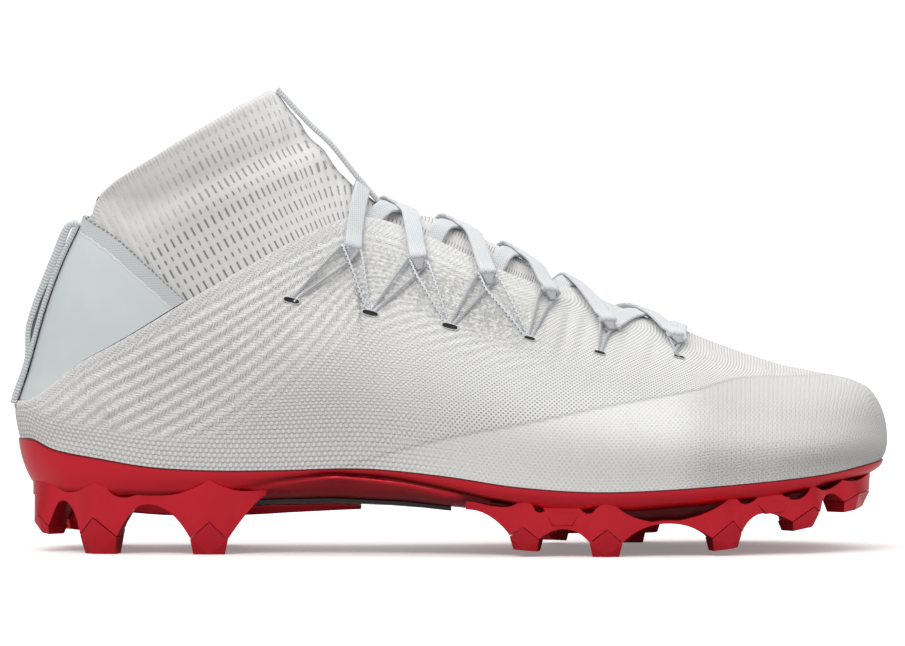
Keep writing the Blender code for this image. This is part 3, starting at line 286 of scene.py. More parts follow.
class Line:
    """A side-view line, read by its share of length."""

    def __init__(self, points):
        self.points = np.array(points, float)
        steps = np.linalg.norm(np.diff(self.points, axis=0), axis=1)
        self.along = np.concatenate([[0], np.cumsum(steps)]) / steps.sum()

    def at(self, share):
        """Points at these shares of the line, as an array of (x, z)."""
        ends = [np.interp(share, self.along, self.points[:, k]) for k in (0, 1)]
        return np.stack(ends, axis=-1)

    def share_at_x(self, x):
        """Share at which the line reaches station x; it runs one way in x there."""
        order = np.argsort(self.points[:, 0])
        return np.interp(x, self.points[order, 0], self.along[order])

    def between(self, start, end):
        """The stretch between two shares, as a line of its own."""
        return Line(self.at(np.linspace(start, end, 80)))

    def moved(self, distance):
        """The line moved to its left, seen along its run."""
        run = headings(self.points)
        return Line(self.points + distance * np.stack([-run[:, 1], run[:, 0]], axis=1))


def side_line(rows, height):
    return Line(catmull([(u * LENGTH, v * height) for u, v in rows]))


feather_line = side_line(FEATHER, SOLE_HEIGHT)
ridge_line = side_line(RIDGE, INSTEP_HEIGHT)
top_line = side_line(TOPLINE, INSTEP_HEIGHT)
sock_foot_line = side_line(SOCK_FOOT, INSTEP_HEIGHT)
collar_top_line = side_line(COLLAR_TOP, COLLAR_FRONT_HEIGHT)
back_points = catmull([(v * LENGTH, u * COLLAR_BACK_HEIGHT) for u, v in BACK])


def smooth(low, high, x):
    t = np.clip((x - low) / (high - low), 0, 1)
    return t * t * (3 - 2 * t)


def back_x(z):
    return np.interp(z, back_points[:, 1], back_points[:, 0])


def feather_z(x):
    return np.interp(x, feather_line.points[:, 0], feather_line.points[:, 1])


def crown_z(x):
    """Height of the ridge over station x; behind the collar's front, a crown above it."""
    nose = ridge_line.points[:, 1] >= NOSE_HEIGHT
    ridge = ridge_line.points[nose][::-1]
    ankle = [(u * LENGTH, v * INSTEP_HEIGHT) for u, v in ANKLE_CROWN[::-1]]
    crown = np.vstack([ankle, ridge])
    return np.interp(x, crown[:, 0], crown[:, 1])


def front_x(z):
    """Front of the toe at height z: it draws in below the nose."""
    below = ridge_line.points[ridge_line.points[:, 1] <= NOSE_HEIGHT]
    return np.interp(z, below[:, 1], below[:, 0])


def plan(column, x):
    return np.interp(x / LENGTH, PLAN[:, 0], PLAN[:, column])


def rounded(distance, reach):
    """Quarter-ellipse: 0 at the end of the shoe, 1 at the reach from it."""
    t = 1 - np.clip(distance / reach, 0, 1)
    return np.sqrt(np.clip(1 - t * t, 0, 1))


def section_height(x, z):
    """How far z lies between the feather line and the crown, from 0 to 1."""
    low = feather_z(x)
    return np.clip((z - low) / (crown_z(x) - low), 0, 1)


def middle_y(x, z):
    """The plane that the two halves meet in: it swings to the big toe and leans up the instep."""
    u = x / LENGTH
    lean = CROWN_LEAN * smooth(0.30, 0.50, u) * (1 - smooth(0.80, 1.0, u))
    return TOE_SWING * smooth(0.50, 1.0, u) + lean * section_height(x, z)


def half_width(x, z, side):
    """Half-width of the outer surface at a side-view point."""
    square = plan(3, x)
    h = section_height(x, z)
    foot = plan(1 if side == LATERAL else 2, x) * BALL_WIDTH
    ankle = smooth(0.55 * INSTEP_HEIGHT, 1.25 * INSTEP_HEIGHT, z)
    ankle = ankle * (1 - smooth(0.35, 0.55, x / LENGTH))
    width = foot + (ANKLE_WIDTH / 2 - foot) * ankle
    swell = 1 + BULGE * np.sin(np.pi * np.clip(h / 0.6, 0, 1)) ** 2
    arch = np.sqrt(np.clip(1 - h**square, 0, 1)) * swell
    reach = HEEL_ROUND + (ANKLE_ROUND - HEEL_ROUND) * ankle
    return width * arch * rounded(x - back_x(z), reach) * rounded(front_x(z) - x, TOE_ROUND)


def surface(x, z, side):
    """A point of the outer surface."""
    y = middle_y(x, z) + side * half_width(x, z, side)
    return np.stack(np.broadcast_arrays(x, y, z), axis=-1)


def columns(count, line):
    """Shares of a line whose points on the surface are evenly spaced, but closer at both ends."""
    share = 0.5 * (1 - np.cos(np.linspace(0, np.pi, 400)))
    flat = line.at(share)
    steps = np.linalg.norm(np.diff(surface(flat[:, 0], flat[:, 1], LATERAL), axis=0), axis=1)
    travelled = np.concatenate([[0], np.cumsum(steps)]) / steps.sum()
    t = np.linspace(0, 1, count + 1)
    return np.interp(0.3 * t + 0.35 * (1 - np.cos(np.pi * t)), travelled, share)


def patch(bottom, top, back, front, q, t):
    """Side-view point at share q along and t up a patch bounded by four lines."""
    q, t = q[..., None], t[..., None]
    rails = (1 - t) * bottom.at(q[..., 0]) + t * top.at(q[..., 0])
    posts = (1 - q) * back.at(t[..., 0]) + q * front.at(t[..., 0])
    corners = (
        (1 - q) * (1 - t) * bottom.at(0.0)
        + q * (1 - t) * bottom.at(1.0)
        + (1 - q) * t * top.at(0.0)
        + q * t * top.at(1.0)
    )
    return rails + posts - corners


def loop_levels(bottom, top, back, front, count, levels, closed=True):
    """Rows of points, one closed loop of the outer surface for each level of a patch.
    With closed False, each row is an arc round the heel from the medial to the lateral end."""
    q = columns(count, bottom)
    rows = []
    for t in np.linspace(0, 1, levels + 1):
        flat = patch(bottom, top, back, front, q, np.full_like(q, t))
        outer = surface(flat[:, 0], flat[:, 1], LATERAL)
        inner = surface(flat[:, 0], flat[:, 1], MEDIAL)
        outer[0, 1] = middle_y(*flat[0])
        if closed:
            outer[-1, 1] = middle_y(*flat[-1])
            rows.append(np.vstack([outer, inner[-2:0:-1]]))
        else:
            rows.append(np.vstack([inner[::-1], outer[1:]]))
    return np.array(rows)


def grid_faces(levels, count, closed):
    faces = []
    for k in range(levels - 1):
        for i in range(count if closed else count - 1):
            j = (i + 1) % count
            faces.append((k * count + i, k * count + j, (k + 1) * count + j, (k + 1) * count + i))
    return faces


def back_line(low, high):
    """The heel's back between two heights."""
    z = np.linspace(low, high, 40)
    return Line(np.stack([back_x(z), z], axis=1))


def plan_inward(loop):
    """Unit plan vectors that point into a closed loop of points."""
    run = np.roll(loop, -1, axis=0) - np.roll(loop, 1, axis=0)
    run[:, 2] = 0
    run /= np.linalg.norm(run, axis=1, keepdims=True)
    return np.stack([-run[:, 1], run[:, 0], np.zeros(len(run))], axis=1)


def sole_value(column, x):
    return np.interp(x / LENGTH, SOLE[:, 0], SOLE[:, column])


def sidewall_rows(count=SOLE_COLUMNS):
    """Outer rows of the plate's sidewall: rim, middle and lower edge, and plan vectors in."""
    flat = feather_line.at(columns(count, feather_line))
    outer = surface(flat[:, 0], flat[:, 1], LATERAL)
    inner = surface(flat[:, 0], flat[:, 1], MEDIAL)
    outer[0, 1] = middle_y(*flat[0])
    outer[-1, 1] = middle_y(*flat[-1])
    loop = np.vstack([outer, inner[-2:0:-1]])
    inward = plan_inward(loop)
    rim = loop - inward * RIM_PROUD
    rim[:, 2] -= GAP
    edge = loop + inward * (sole_value(3, loop[:, 0]) * BALL_WIDTH)[:, None]
    edge[:, 2] = sole_value(1, loop[:, 0]) * SOLE_HEIGHT
    u = loop[:, 0] / LENGTH
    edge[:, 2] -= TOE_EDGE_DROP * smooth(0.93, 0.985, u)
    middle = rim + (edge - rim) * (0.30 - 0.06 * smooth(0.90, 0.975, u))[:, None]
    middle[:, 2] = 0.5 * (rim[:, 2] + edge[:, 2])
    return rim, middle, edge, inward


def bottom_z(x, share, edge_z):
    """Height of the plate's underside at a share of the way from its edge to the other."""
    belly = sole_value(2, x) * SOLE_HEIGHT
    return belly + (edge_z - belly) * np.abs(2 * share - 1) ** 3


def loft_faces(rows, sides):
    """Faces of a solid of stacked sections with a cap at each end."""
    faces = [face for k in range(rows - 1) for face in band(k * sides, (k + 1) * sides, sides)]
    return faces + [tuple(range(sides)), tuple(range((rows - 1) * sides, rows * sides))]


def band(first, second, count):
    """Faces between two closed loops of the same count."""
    return [
        (first + i, first + (i + 1) % count, second + (i + 1) % count, second + i)
        for i in range(count)
    ]


class Side:
    """One side of the plate's sidewall, read by station."""

    def __init__(self, side):
        rim, middle, edge, _ = sidewall_rows()
        half = len(rim) // 2
        pick = list(range(half + 1))
        if side == MEDIAL:
            pick = [0] + list(range(len(rim) - 1, half - 1, -1))
        self.rows = [row[pick] for row in (edge, middle, rim)]
        self.side = side

    def edge(self, x):
        row = self.rows[0]
        return np.array([x, np.interp(x, row[:, 0], row[:, 1]), np.interp(x, row[:, 0], row[:, 2])])

    def inward(self, x):
        ahead, behind = self.edge(x + 0.001), self.edge(x - 0.001)
        run = (ahead - behind) * (1, 1, 0)
        run /= np.linalg.norm(run)
        return self.side * np.array([run[1], -run[0], 0])

    def wall(self, x, z):
        """Point of the sidewall's outer face over station x at height z."""
        ys = [np.interp(x, row[:, 0], row[:, 1]) for row in self.rows]
        zs = [np.interp(x, row[:, 0], row[:, 2]) for row in self.rows]
        return np.array([x, np.interp(z, zs, ys), z])

    def under(self, x, reach):
        """Point of the plate's underside, this far in from its edge."""
        p = self.edge(x) + self.inward(x) * reach
        mine, other = self.edge(p[0]), Side.pair[-self.side].edge(p[0])
        share = (p[1] - mine[1]) / (other[1] - mine[1])
        p[2] = bottom_z(p[0], share, mine[2])
        return p


def skin(x, turn):
    """Outer surface by station and turn: 0 on the ridge, -1 and 1 at the two feather lines."""
    z = feather_z(x) + (crown_z(x) - feather_z(x)) * (1 - turn * turn)
    side = np.where(turn < 0, LATERAL, MEDIAL)
    lateral, medial = surface(x, z, LATERAL), surface(x, z, MEDIAL)
    return np.where((side == LATERAL)[..., None], lateral, medial)


def skin_normal(x, turn):
    along = skin(x + 0.0015, turn) - skin(x - 0.0015, turn)
    across = skin(x, turn + 0.03) - skin(x, turn - 0.03)
    normal = np.cross(along, across)
    return normal / np.linalg.norm(normal, axis=-1, keepdims=True)


def turn_at(x, z):
    return np.sqrt(1 - section_height(x, z))


# From the last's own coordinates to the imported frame
SHIFT = np.array(
    [
        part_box("shank")[0][0] - SHANK_REACH[0] * LENGTH,
        (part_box("heel_pull")[0][1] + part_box("heel_pull")[1][1]) / 2,
        0.0,
    ]
)


class Value:
    """A number in a shader, with arithmetic."""

    def __init__(self, graph, socket):
        self.graph, self.socket = graph, socket

    def __add__(self, other):
        return self.graph.math("ADD", self, other)

    def __sub__(self, other):
        return self.graph.math("SUBTRACT", self, other)

    def __rsub__(self, other):
        return self.graph.math("SUBTRACT", other, self)

    def __mul__(self, other):
        return self.graph.math("MULTIPLY", self, other)

    def __truediv__(self, other):
        return self.graph.math("DIVIDE", self, other)

    __radd__, __rmul__ = __add__, __mul__

    def power(self, other):
        return self.graph.math("POWER", self, other)

    def sine(self, period, phase=0.0):
        """-1 to 1, one wave to a period."""
        return self.graph.math("SINE", self * (math.tau / period) + phase)

    def wave(self, period, phase=0.0):
        """0 to 1, one wave to a period."""
        return self.sine(period, phase) * 0.5 + 0.5

    def fold(self, reach):
        """Zigzag from 0 to the reach and back."""
        return self.graph.math("PINGPONG", self, reach)

    def size(self):
        return self.graph.math("ABSOLUTE", self)

    def most(self, other):
        return self.graph.math("MAXIMUM", self, other)

    def step(self, low, high):
        """Soft step from 0 at low to 1 at high."""
        return self.graph.step(self, low, high)


class Graph:
    """A principled material under construction."""

    def __init__(self, name, roughness=0.5, **sockets):
        self.material = bpy.data.materials.new(name)
        self.material.use_nodes = True
        self.nodes = self.material.node_tree.nodes
        self.links = self.material.node_tree.links
        self.shader = self.nodes["Principled BSDF"]
        self.shader.inputs["Roughness"].default_value = roughness
        for key, value in sockets.items():
            self.shader.inputs[key.replace("_", " ")].default_value = value
        self.place = None

    def feed(self, socket, value):
        if isinstance(value, Value):
            self.links.new(value.socket, socket)
        elif isinstance(value, bpy.types.NodeSocket):
            self.links.new(value, socket)
        else:
            socket.default_value = value

    def math(self, operation, *values):
        node = self.nodes.new("ShaderNodeMath")
        node.operation = operation
        for socket, value in zip(node.inputs, values):
            self.feed(socket, value)
        return Value(self, node.outputs[0])

    def step(self, value, low, high):
        node = self.nodes.new("ShaderNodeMapRange")
        node.interpolation_type = "SMOOTHSTEP"
        self.feed(node.inputs["Value"], value)
        node.inputs["From Min"].default_value = low
        node.inputs["From Max"].default_value = high
        return Value(self, node.outputs["Result"])

    def read(self, *names):
        """The mesh attributes of these names."""
        out = []
        for name in names:
            node = self.nodes.new("ShaderNodeAttribute")
            node.attribute_name = name
            out.append(Value(self, node.outputs["Fac"]))
        return out

    def position(self):
        if self.place is None:
            self.place = self.nodes.new("ShaderNodeTexCoord").outputs["Object"]
        return self.place

    def noise(self, size, detail=3.0, stretch=(1, 1, 1)):
        """Noise from 0 to 1 with grains of this size in metres."""
        mapping = self.nodes.new("ShaderNodeMapping")
        self.links.new(self.position(), mapping.inputs["Vector"])
        mapping.inputs["Scale"].default_value = [1 / s for s in stretch]
        node = self.nodes.new("ShaderNodeTexNoise")
        self.links.new(mapping.outputs[0], node.inputs["Vector"])
        node.inputs["Scale"].default_value = 1 / size
        node.inputs["Detail"].default_value = detail
        return Value(self, node.outputs[0])

    def blend(self, share, first, second):
        """Colour between two colours."""
        node = self.nodes.new("ShaderNodeMix")
        node.data_type = "RGBA"
        self.feed(node.inputs[0], share)
        for socket, colour in zip(node.inputs[6:8], (first, second)):
            if isinstance(colour, tuple):
                colour = (*colour, 1)
            self.feed(socket, colour)
        return node.outputs[2]

    def colour(self, value):
        self.feed(self.shader.inputs["Base Color"], value)

    def roughness(self, value):
        self.feed(self.shader.inputs["Roughness"], value)

    def bump(self, height, distance, strength=1.0):
        """Bump from a height of 0 to 1 that stands for this distance in metres."""
        node = self.nodes.new("ShaderNodeBump")
        node.inputs["Strength"].default_value = strength
        node.inputs["Distance"].default_value = distance
        self.feed(node.inputs["Height"], height)
        self.links.new(node.outputs[0], self.shader.inputs["Normal"])


def add_piece(
    name, points, faces, finish, angle=50, attributes=None, replaced=(), bevel=0.0
):
    """A piece of the shoe, from points in the last's own coordinates."""
    mesh = bpy.data.meshes.new(name)
    mesh.from_pydata((np.asarray(points) + SHIFT).tolist(), [], faces)
    for key, values in (attributes or {}).items():
        layer = mesh.attributes.new(key, "FLOAT", "POINT")
        layer.data.foreach_set("value", np.asarray(values, np.float32).ravel())
    body = bmesh.new()
    body.from_mesh(mesh)
    bmesh.ops.recalc_face_normals(body, faces=body.faces)
    body.to_mesh(mesh)
    body.free()
    mesh.shade_smooth()
    mesh.set_sharp_from_angle(angle=math.radians(angle))
    mesh.materials.append(finish)
    obj = bpy.data.objects.new(name, mesh)
    bpy.context.scene.collection.objects.link(obj)
    if bevel:
        soften(obj, bevel)
    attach(obj, "root")
    if replaced:
        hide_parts(*replaced)
    return obj


SOFT_EDGE = 0.0003


def soften(obj, width=SOFT_EDGE, segments=3, angle=25):
    """Round the sharp edges a little."""
    edge = obj.modifiers.new("soft_edges", "BEVEL")
    edge.width = width
    edge.segments = segments
    edge.limit_method = "ANGLE"
    edge.angle_limit = math.radians(angle)
    edge.harden_normals = True


def shell_points(rows, outer_depth, wall, inner_every=6):
    """Points and faces of a closed wall: a fine outer face and a coarser inner face."""
    outer = rows - normals_of(rows) * np.broadcast_to(outer_depth, rows.shape[:2])[..., None]
    outer = keep_side(outer, loop_sides(rows))
    levels, count, _ = rows.shape
    pick = list(range(0, levels - 1, inner_every)) + [levels - 1]
    inner = outer[pick] - normals_of(rows)[pick] * wall
    inner = keep_side(inner, loop_sides(rows)[pick])
    size = levels * count
    faces = grid_faces(levels, count, True)
    faces += [tuple(size + i for i in reversed(f)) for f in grid_faces(len(pick), count, True)]
    for start, other in ((0, size), ((levels - 1) * count, size + (len(pick) - 1) * count)):
        for i in range(count):
            j = (i + 1) % count
            faces.append((start + i, start + j, other + j, other + i))
    return np.vstack([outer.reshape(-1, 3), inner.reshape(-1, 3)]), faces, pick


def keep_side(points, side):
    """Points that would cross the shoe's middle plane stop on it."""
    middle = middle_y(points[..., 0], points[..., 2])
    y = points[..., 1]
    points[..., 1] = np.where(side == LATERAL, np.minimum(y, middle), np.maximum(y, middle))
    return points


def normals_of(rows, closed=True):
    """Unit normals out of the outer surface at a grid of its points."""
    x, z = rows[..., 0], rows[..., 2]
    if closed:
        side = loop_sides(rows)
    else:
        half = rows.shape[1] // 2
        side = np.full(x.shape, MEDIAL)
        side[:, half:] = LATERAL
    step = 0.0008
    normal = np.zeros(rows.shape)
    for way in (LATERAL, MEDIAL):
        mine = side == way
        along = half_width(x + step, z, way) - half_width(x - step, z, way)
        rise = half_width(x, z + step, way) - half_width(x, z - step, way)
        parts = -along / (2 * step), np.full(x.shape, way), -rise / (2 * step)
        normal[mine] = np.stack(parts, axis=-1)[mine]
    ends = [0, rows.shape[1] // 2] if closed else [rows.shape[1] // 2]
    normal[:, ends, 1] = 0
    return normal / np.maximum(np.linalg.norm(normal, axis=2, keepdims=True), 1e-12)


def from_line(line, x, z):
    """Distances in millimetres: to the right of a side-view line, with a sign, and along it."""
    reach = distances(line.points)
    fine = np.linspace(0, reach[-1], 500)
    points = np.stack([np.interp(fine, reach, line.points[:, k]) for k in (0, 1)], axis=1)
    run = headings(points)
    flat = np.stack([x.ravel(), z.ravel()], axis=1)
    away, along = np.empty(len(flat)), np.empty(len(flat))
    for start in range(0, len(flat), 4000):
        part = flat[start : start + 4000]
        gap = part[:, None, :] - points[None]
        nearest = np.argmin((gap**2).sum(axis=2), axis=1)
        span = part - points[nearest]
        heading = run[nearest]
        along[start : start + 4000] = fine[nearest] + (span * heading).sum(axis=1)
        side = heading[:, 1] * span[:, 0] - heading[:, 0] * span[:, 1]
        away[start : start + 4000] = np.sign(side) * np.hypot(span[:, 0], span[:, 1])
    return away.reshape(x.shape) * MM, along.reshape(x.shape) * MM


def skin_lengths(x, z, side):
    """Distances over the skin, in millimetres: along the shoe, and down from the ridge."""
    stations = np.linspace(0.004, 0.9975, SKIN_TABLE[0]) * LENGTH
    last_u, last_v = SKIN_TABLE[0] - 1, SKIN_TABLE[1] - 1
    across, down = np.meshgrid(stations, np.linspace(0, 1, SKIN_TABLE[1]), indexing="ij")
    turn = np.sqrt(np.clip(1 - section_height(x, z), 0, 1))
    u = (x - stations[0]) / (stations[-1] - stations[0]) * last_u
    u, v = np.clip(u, 0, last_u - 0.001), np.clip(turn * last_v, 0, last_v - 0.001)
    i, j = u.astype(int), v.astype(int)
    u, v = u - i, v - j
    run = np.zeros(x.shape)
    drop = np.zeros(x.shape)
    for way in (LATERAL, MEDIAL):
        points = skin(across, way * down)
        ahead = over_grid(points[..., :2], 0)
        ahead -= ahead[SKIN_TABLE[2]]
        girth = over_grid(points[..., 1:], 1)
        for table, out in ((ahead, run), (girth, drop)):
            read = (
                table[i, j] * (1 - u) * (1 - v)
                + table[i + 1, j] * u * (1 - v)
                + table[i, j + 1] * (1 - u) * v
                + table[i + 1, j + 1] * u * v
            )
            out[side == way] = read[side == way] * MM
    return run, drop


def over_grid(points, axis):
    """Distance over a grid of points, along one axis, to each of them."""
    steps = np.linalg.norm(np.diff(points, axis=axis), axis=2)
    ends = [(1, 0), (0, 0)] if axis == 0 else [(0, 0), (1, 0)]
    return np.pad(np.cumsum(steps, axis=axis), ends)


def loop_sides(rows):
    """Which half of the shoe each point of closed rows lies in."""
    half = rows.shape[1] // 2
    side = np.full(rows.shape[:2], LATERAL)
    side[:, half + 1 :] = MEDIAL
    return side


# Lower edge of the plain film on the forefoot and toe, seen from the side
FOREFOOT_FILM = (
    (0.3, 0.19), (0.374, 0.252), (0.48, 0.33), (0.591, 0.386), (0.68, 0.43), (0.775, 0.469),
    (0.83, 0.5), (0.904, 0.5), (1.01, 0.5),
)
# Pleats that run down from the lacing: station and height of the top and of the foot, and
# depth in millimetres
PLEATS = (
    ((0.48, 0.8), (0.455, 0.64), 0.35), ((0.555, 0.735), (0.525, 0.56), 0.4),
    ((0.588, 0.712), (0.572, 0.56), 0.35), ((0.636, 0.7), (0.622, 0.54), 0.75),
    ((0.655, 0.68), (0.644, 0.56), 0.55), ((0.672, 0.56), (0.662, 0.47), 0.35),
    ((0.7, 0.64), (0.69, 0.52), 0.35), ((0.735, 0.62), (0.722, 0.52), 0.4),
    ((0.415, 0.83), (0.36, 0.64), 0.3), ((0.375, 0.85), (0.32, 0.69), 0.25),
)


def bell(distance, width):
    return np.exp(-((distance / width) ** 2))


def pleat_relief(x, z):
    """Depth of the pleats, in millimetres: soft grooves with a low ridge beside each."""
    relief = np.zeros(x.shape)
    for top, foot, depth in PLEATS:
        a, b = [np.array(p) * (LENGTH, INSTEP_HEIGHT) for p in (top, foot)]
        long = np.linalg.norm(b - a)
        run = (b - a) / long
        along = ((x - a[0]) * run[0] + (z - a[1]) * run[1]) / long
        away = ((x - a[0]) * run[1] - (z - a[1]) * run[0]) * MM
        fade = smooth(-0.15, 0.15, along) * (1 - smooth(0.65, 1.1, along))
        relief -= depth * fade * (bell(away, 1.1) - 0.55 * bell(away - 2.6, 1.6))
    return relief


def upper_lines():
    end = ridge_line.share_at_x(TOPLINE[-1][0] * LENGTH)
    front = ridge_line.between(0, end)
    top = Line(np.vstack([top_line.points[:-1], front.points[-1]]))
    back = back_line(feather_line.points[0, 1], top.points[0, 1])
    return feather_line, top, back, front


# Patterns of the shell, in millimetres: where the ribs start below the top edge, their pitch
# and height, and the pitches of stitches, mesh holes, scales, dots and fine ribs. The bump's
# depth is in metres
RIB_START, RIB_PITCH, RIB_HEIGHT = 3.2, 4.0, 0.22
STITCH_PITCH = 1.3
HOLE_PITCH = (1.65, 2.1)
SCALE_PITCH = 1.62
DOT_PITCH = (1.56, 0.95)
FINE_RIB_PITCH = 1.0
SHELL_BUMP = 0.00042
HALF_ROOT_3 = 0.866


def make_upper():
    lines = upper_lines()
    rows = loop_levels(*lines, *UPPER_FINE)
    x, z, side = rows[..., 0], rows[..., 2], loop_sides(rows)
    u = x / LENGTH
    drop, edge = from_line(lines[1], x, z)
    film_away, _ = from_line(side_line(FOREFOOT_FILM, INSTEP_HEIGHT), x, z)
    run, girth = skin_lengths(x, z, side)
    above = (z - feather_z(x)) * MM
    # the ribs turn steeper towards the front
    phase = drop + 0.0035 * np.clip(edge - 55, 0, None) ** 2 * smooth(4, 25, drop)
    border = 0.30 * np.sin(np.pi * np.clip((drop - 0.2) / 2.6, 0, 1)) ** 0.7
    border -= 0.12 * bell(drop - 3.1, 0.5)
    low_zone = 1 - smooth(7, 14, above)
    rib_zone = (1 - low_zone * (1 - smooth(0.36, 0.50, u))) * smooth(RIB_START, 5, drop)
    rib_zone *= (1 - smooth(38, 62, drop + 0.12 * edge)) * (1 - smooth(0.52, 0.66, u))
    ribs = RIB_HEIGHT * np.cos(math.tau * (phase - RIB_START) / RIB_PITCH) * rib_zone
    relief = border + ribs + pleat_relief(x, z) + 0.15 * bell(above - 3, 6)
    arc = over_grid(rows, 1)
    arc = np.where(side == LATERAL, arc, arc[:, -1:] + arc[:, 1:2] - arc) * MM
    scales = np.maximum(low_zone, smooth(10, 30, drop - 22 + 0.10 * edge))
    scales *= 1 - smooth(0.36, 0.56, u)
    values = {
        "drop": drop, "edge": edge, "phase": phase, "run": run, "girth": girth, "arc": arc,
        "rise": over_grid(rows, 0) * MM, "film": smooth(-0.6, 0.6, film_away),
        "ribs": rib_zone, "scales": scales,
    }
    depth = -relief / MM
    knit_piece("upper_knit", rows, depth, UPPER_WALL, knit_shell(), values, "upper")


def knit_piece(name, rows, depth, wall, finish, values, node):
    """A knit shell. values: attributes on the rows' grid; inside: 1 on the inner face."""
    points, faces, pick = shell_points(rows, depth, wall)
    values["inside"] = np.zeros(rows.shape[:2])
    attributes = {k: np.concatenate([v.ravel(), v[pick].ravel()]) for k, v in values.items()}
    attributes["inside"][rows[..., 0].size :] = 1
    add_piece(name, points, faces, finish, 70, attributes, (node,))


def knit_shell():
    g = Graph("knit_shell", 0.62, Sheen_Weight=0.25, Sheen_Roughness=0.5)
    drop, edge, phase, run, girth, arc, rise = g.read(
        "drop", "edge", "phase", "run", "girth", "arc", "rise"
    )
    ribs, scales, film, inside = g.read("ribs", "scales", "film", "inside")
    ribs = ribs.most((1 - drop.step(RIB_START, 4.6)) * 0.7)
    # slanted stitches that meet in a V on each rib, a little uneven
    uneven = (g.noise(0.004, 2) - 0.5) * 0.9
    slant = edge + (phase + 0.8).fold(RIB_PITCH / 2) * 1.1 + uneven
    broken = g.noise(0.0012, 2).step(0.30, 0.62)
    stitch = slant.wave(STITCH_PITCH) * broken + (1 - broken) * 0.75
    rib_top = phase.wave(RIB_PITCH, math.pi / 2 - RIB_START * math.tau / RIB_PITCH)
    # glint: painted highlights, specks that lighten the ribs' colour
    glint = g.noise(0.0007, 2).step(0.5, 0.68)
    rib_height = stitch * 0.6 + rib_top * 0.4
    # mesh with staggered holes
    holes = (arc.sine(HOLE_PITCH[0]) * rise.sine(HOLE_PITCH[1])).step(0.15, 0.75)
    # scales: the sum of three waves makes hexagonal bumps
    across, up = arc * HALF_ROOT_3, rise * 0.5
    waves = [line.sine(SCALE_PITCH, math.pi / 2) for line in (rise, across - up, across + up)]
    bumps = ((waves[0] + waves[1] + waves[2]) / 4.5 + 0.33).step(0.05, 0.60)
    # fine dots under the film at the toe
    dots = (run.wave(DOT_PITCH[0]) * girth.wave(DOT_PITCH[1])).step(0.35, 0.8)
    toe = run.step(40, 62) * film
    # fine ribs across the top of the toe
    fine = run.sine(FINE_RIB_PITCH)
    top_ribs = run.step(28, 46) * (1 - film) * (1 - girth.step(14, 24))
    open_mesh = (1 - ribs) * (1 - scales) * (1 - top_ribs * 0.7) * (1 - film * 0.75)
    fuzz = g.noise(0.0006, 2)
    height = rib_height * ribs + (1 - holes) * open_mesh * 0.8
    height = height + bumps * scales * (1 - ribs * 0.5) * 0.8
    height = height - film * 0.25 + dots * toe * 0.6 + fuzz * 0.15 - top_ribs * fine * 0.3
    # painted shade: darker between the stitches, in the rib valleys, in the mesh holes and round
    # the scales' bumps
    dark = (1 - stitch) * ribs * (0.28 - rib_top * 0.10) + (1 - rib_top) * ribs * 0.10
    dark = dark + film * (1 - film) * 0.4 + holes * open_mesh * 0.56
    dark = dark + (1 - bumps) * scales * (1 - ribs) * 0.27 + (1 - dots) * toe * 0.22
    dark = dark + top_ribs * (fine * 0.5 + 0.5) * 0.22 - glint * ribs * 0.26
    # the inner face is painted darker as shade
    shade = dark + (g.noise(0.03, 2) - 0.5) * 0.06 + inside * 0.25 + fuzz * 0.06
    g.colour(g.blend(shade, (0.90, 0.895, 0.875), (0.20, 0.195, 0.19)))
    g.roughness(0.66 - film * 0.2 + fuzz * 0.1 - glint * ribs * 0.15)
    g.bump(height, SHELL_BUMP, 0.9)
    return g.material


def sock_lines():
    start = ridge_line.share_at_x(SOCK_FOOT[-1][0] * LENGTH)
    front = ridge_line.between(start, 1)
    foot = Line(np.vstack([sock_foot_line.points[:-1], front.points[0]]))
    top = Line(np.vstack([collar_top_line.points[:-1], front.points[-1]]))
    back = back_line(foot.points[0, 1], top.points[0, 1])
    return foot, top, back, front


# Patterns of the sock, in millimetres: pitch of the columns of slits and of their rows, of
# the loops between them, and of the ribs at its top edge and the waves below. The bump's
# depth is in metres
SLIT_PITCH, SLIT_ROWS = 5.3, 8.8
LOOP_PITCH = (0.9, 0.8)
RIM_RIB_PITCH, WAVE_PITCH = 1.3, 5.0
SOCK_BUMP = 0.00045
# How far the sock sinks under the lacing, and its medial top edge below the lateral one
LACING_SINK = 0.0013
MEDIAL_DROP = 0.0022


def make_sock():
    lines = sock_lines()
    rows = loop_levels(*lines, *SOCK_FINE)
    x, z, side = rows[..., 0], rows[..., 2], loop_sides(rows)
    below, rim = from_line(lines[1], x, z)
    drop, edge = from_line(top_line, x, z)
    run, _ = skin_lengths(x, z, side)
    # share of the way from the heel to the front along the top edge
    share = np.clip(rim / 75, 0, 1)
    centre = 10 + 10 * share
    relief = -1.2 * bell(below - centre, 4.6) * smooth(-0.05, 0.25, share)
    relief += 0.45 * bell(below - centre - 8, 4.5)
    relief -= 0.5 * bell(below - 5 - centre, 6) * (1 - smooth(0.15, 0.4, share))
    relief -= 0.9 * np.exp(-np.clip(below, 0, None) / 0.8) ** 2
    relief += 0.09 * np.sin(math.tau * run / RIM_RIB_PITCH) * (1 - smooth(0.6, 3.0, below))
    relief += 0.10 * np.sin(math.tau * edge / WAVE_PITCH) * smooth(2, 8, below)
    turn = np.sqrt(np.clip(1 - section_height(x, z), 0, 1))
    lacing = smooth(0.425, 0.46, x / LENGTH) * (1 - smooth(0.12, 0.30, turn))
    depth = UPPER_WALL + SOCK_GAP - relief / MM - LACING_SINK * lacing
    off_middle = smooth(0, 0.012, np.abs(rows[..., 1]))
    rows[..., 2] -= MEDIAL_DROP * (side == MEDIAL) * (1 - smooth(0, 14, below)) * off_middle
    values = {"drop": drop, "edge": edge, "below": below, "rim": rim}
    knit_piece("sock_knit", rows, depth, SOCK_WALL, knit_sock(), values, "collar")


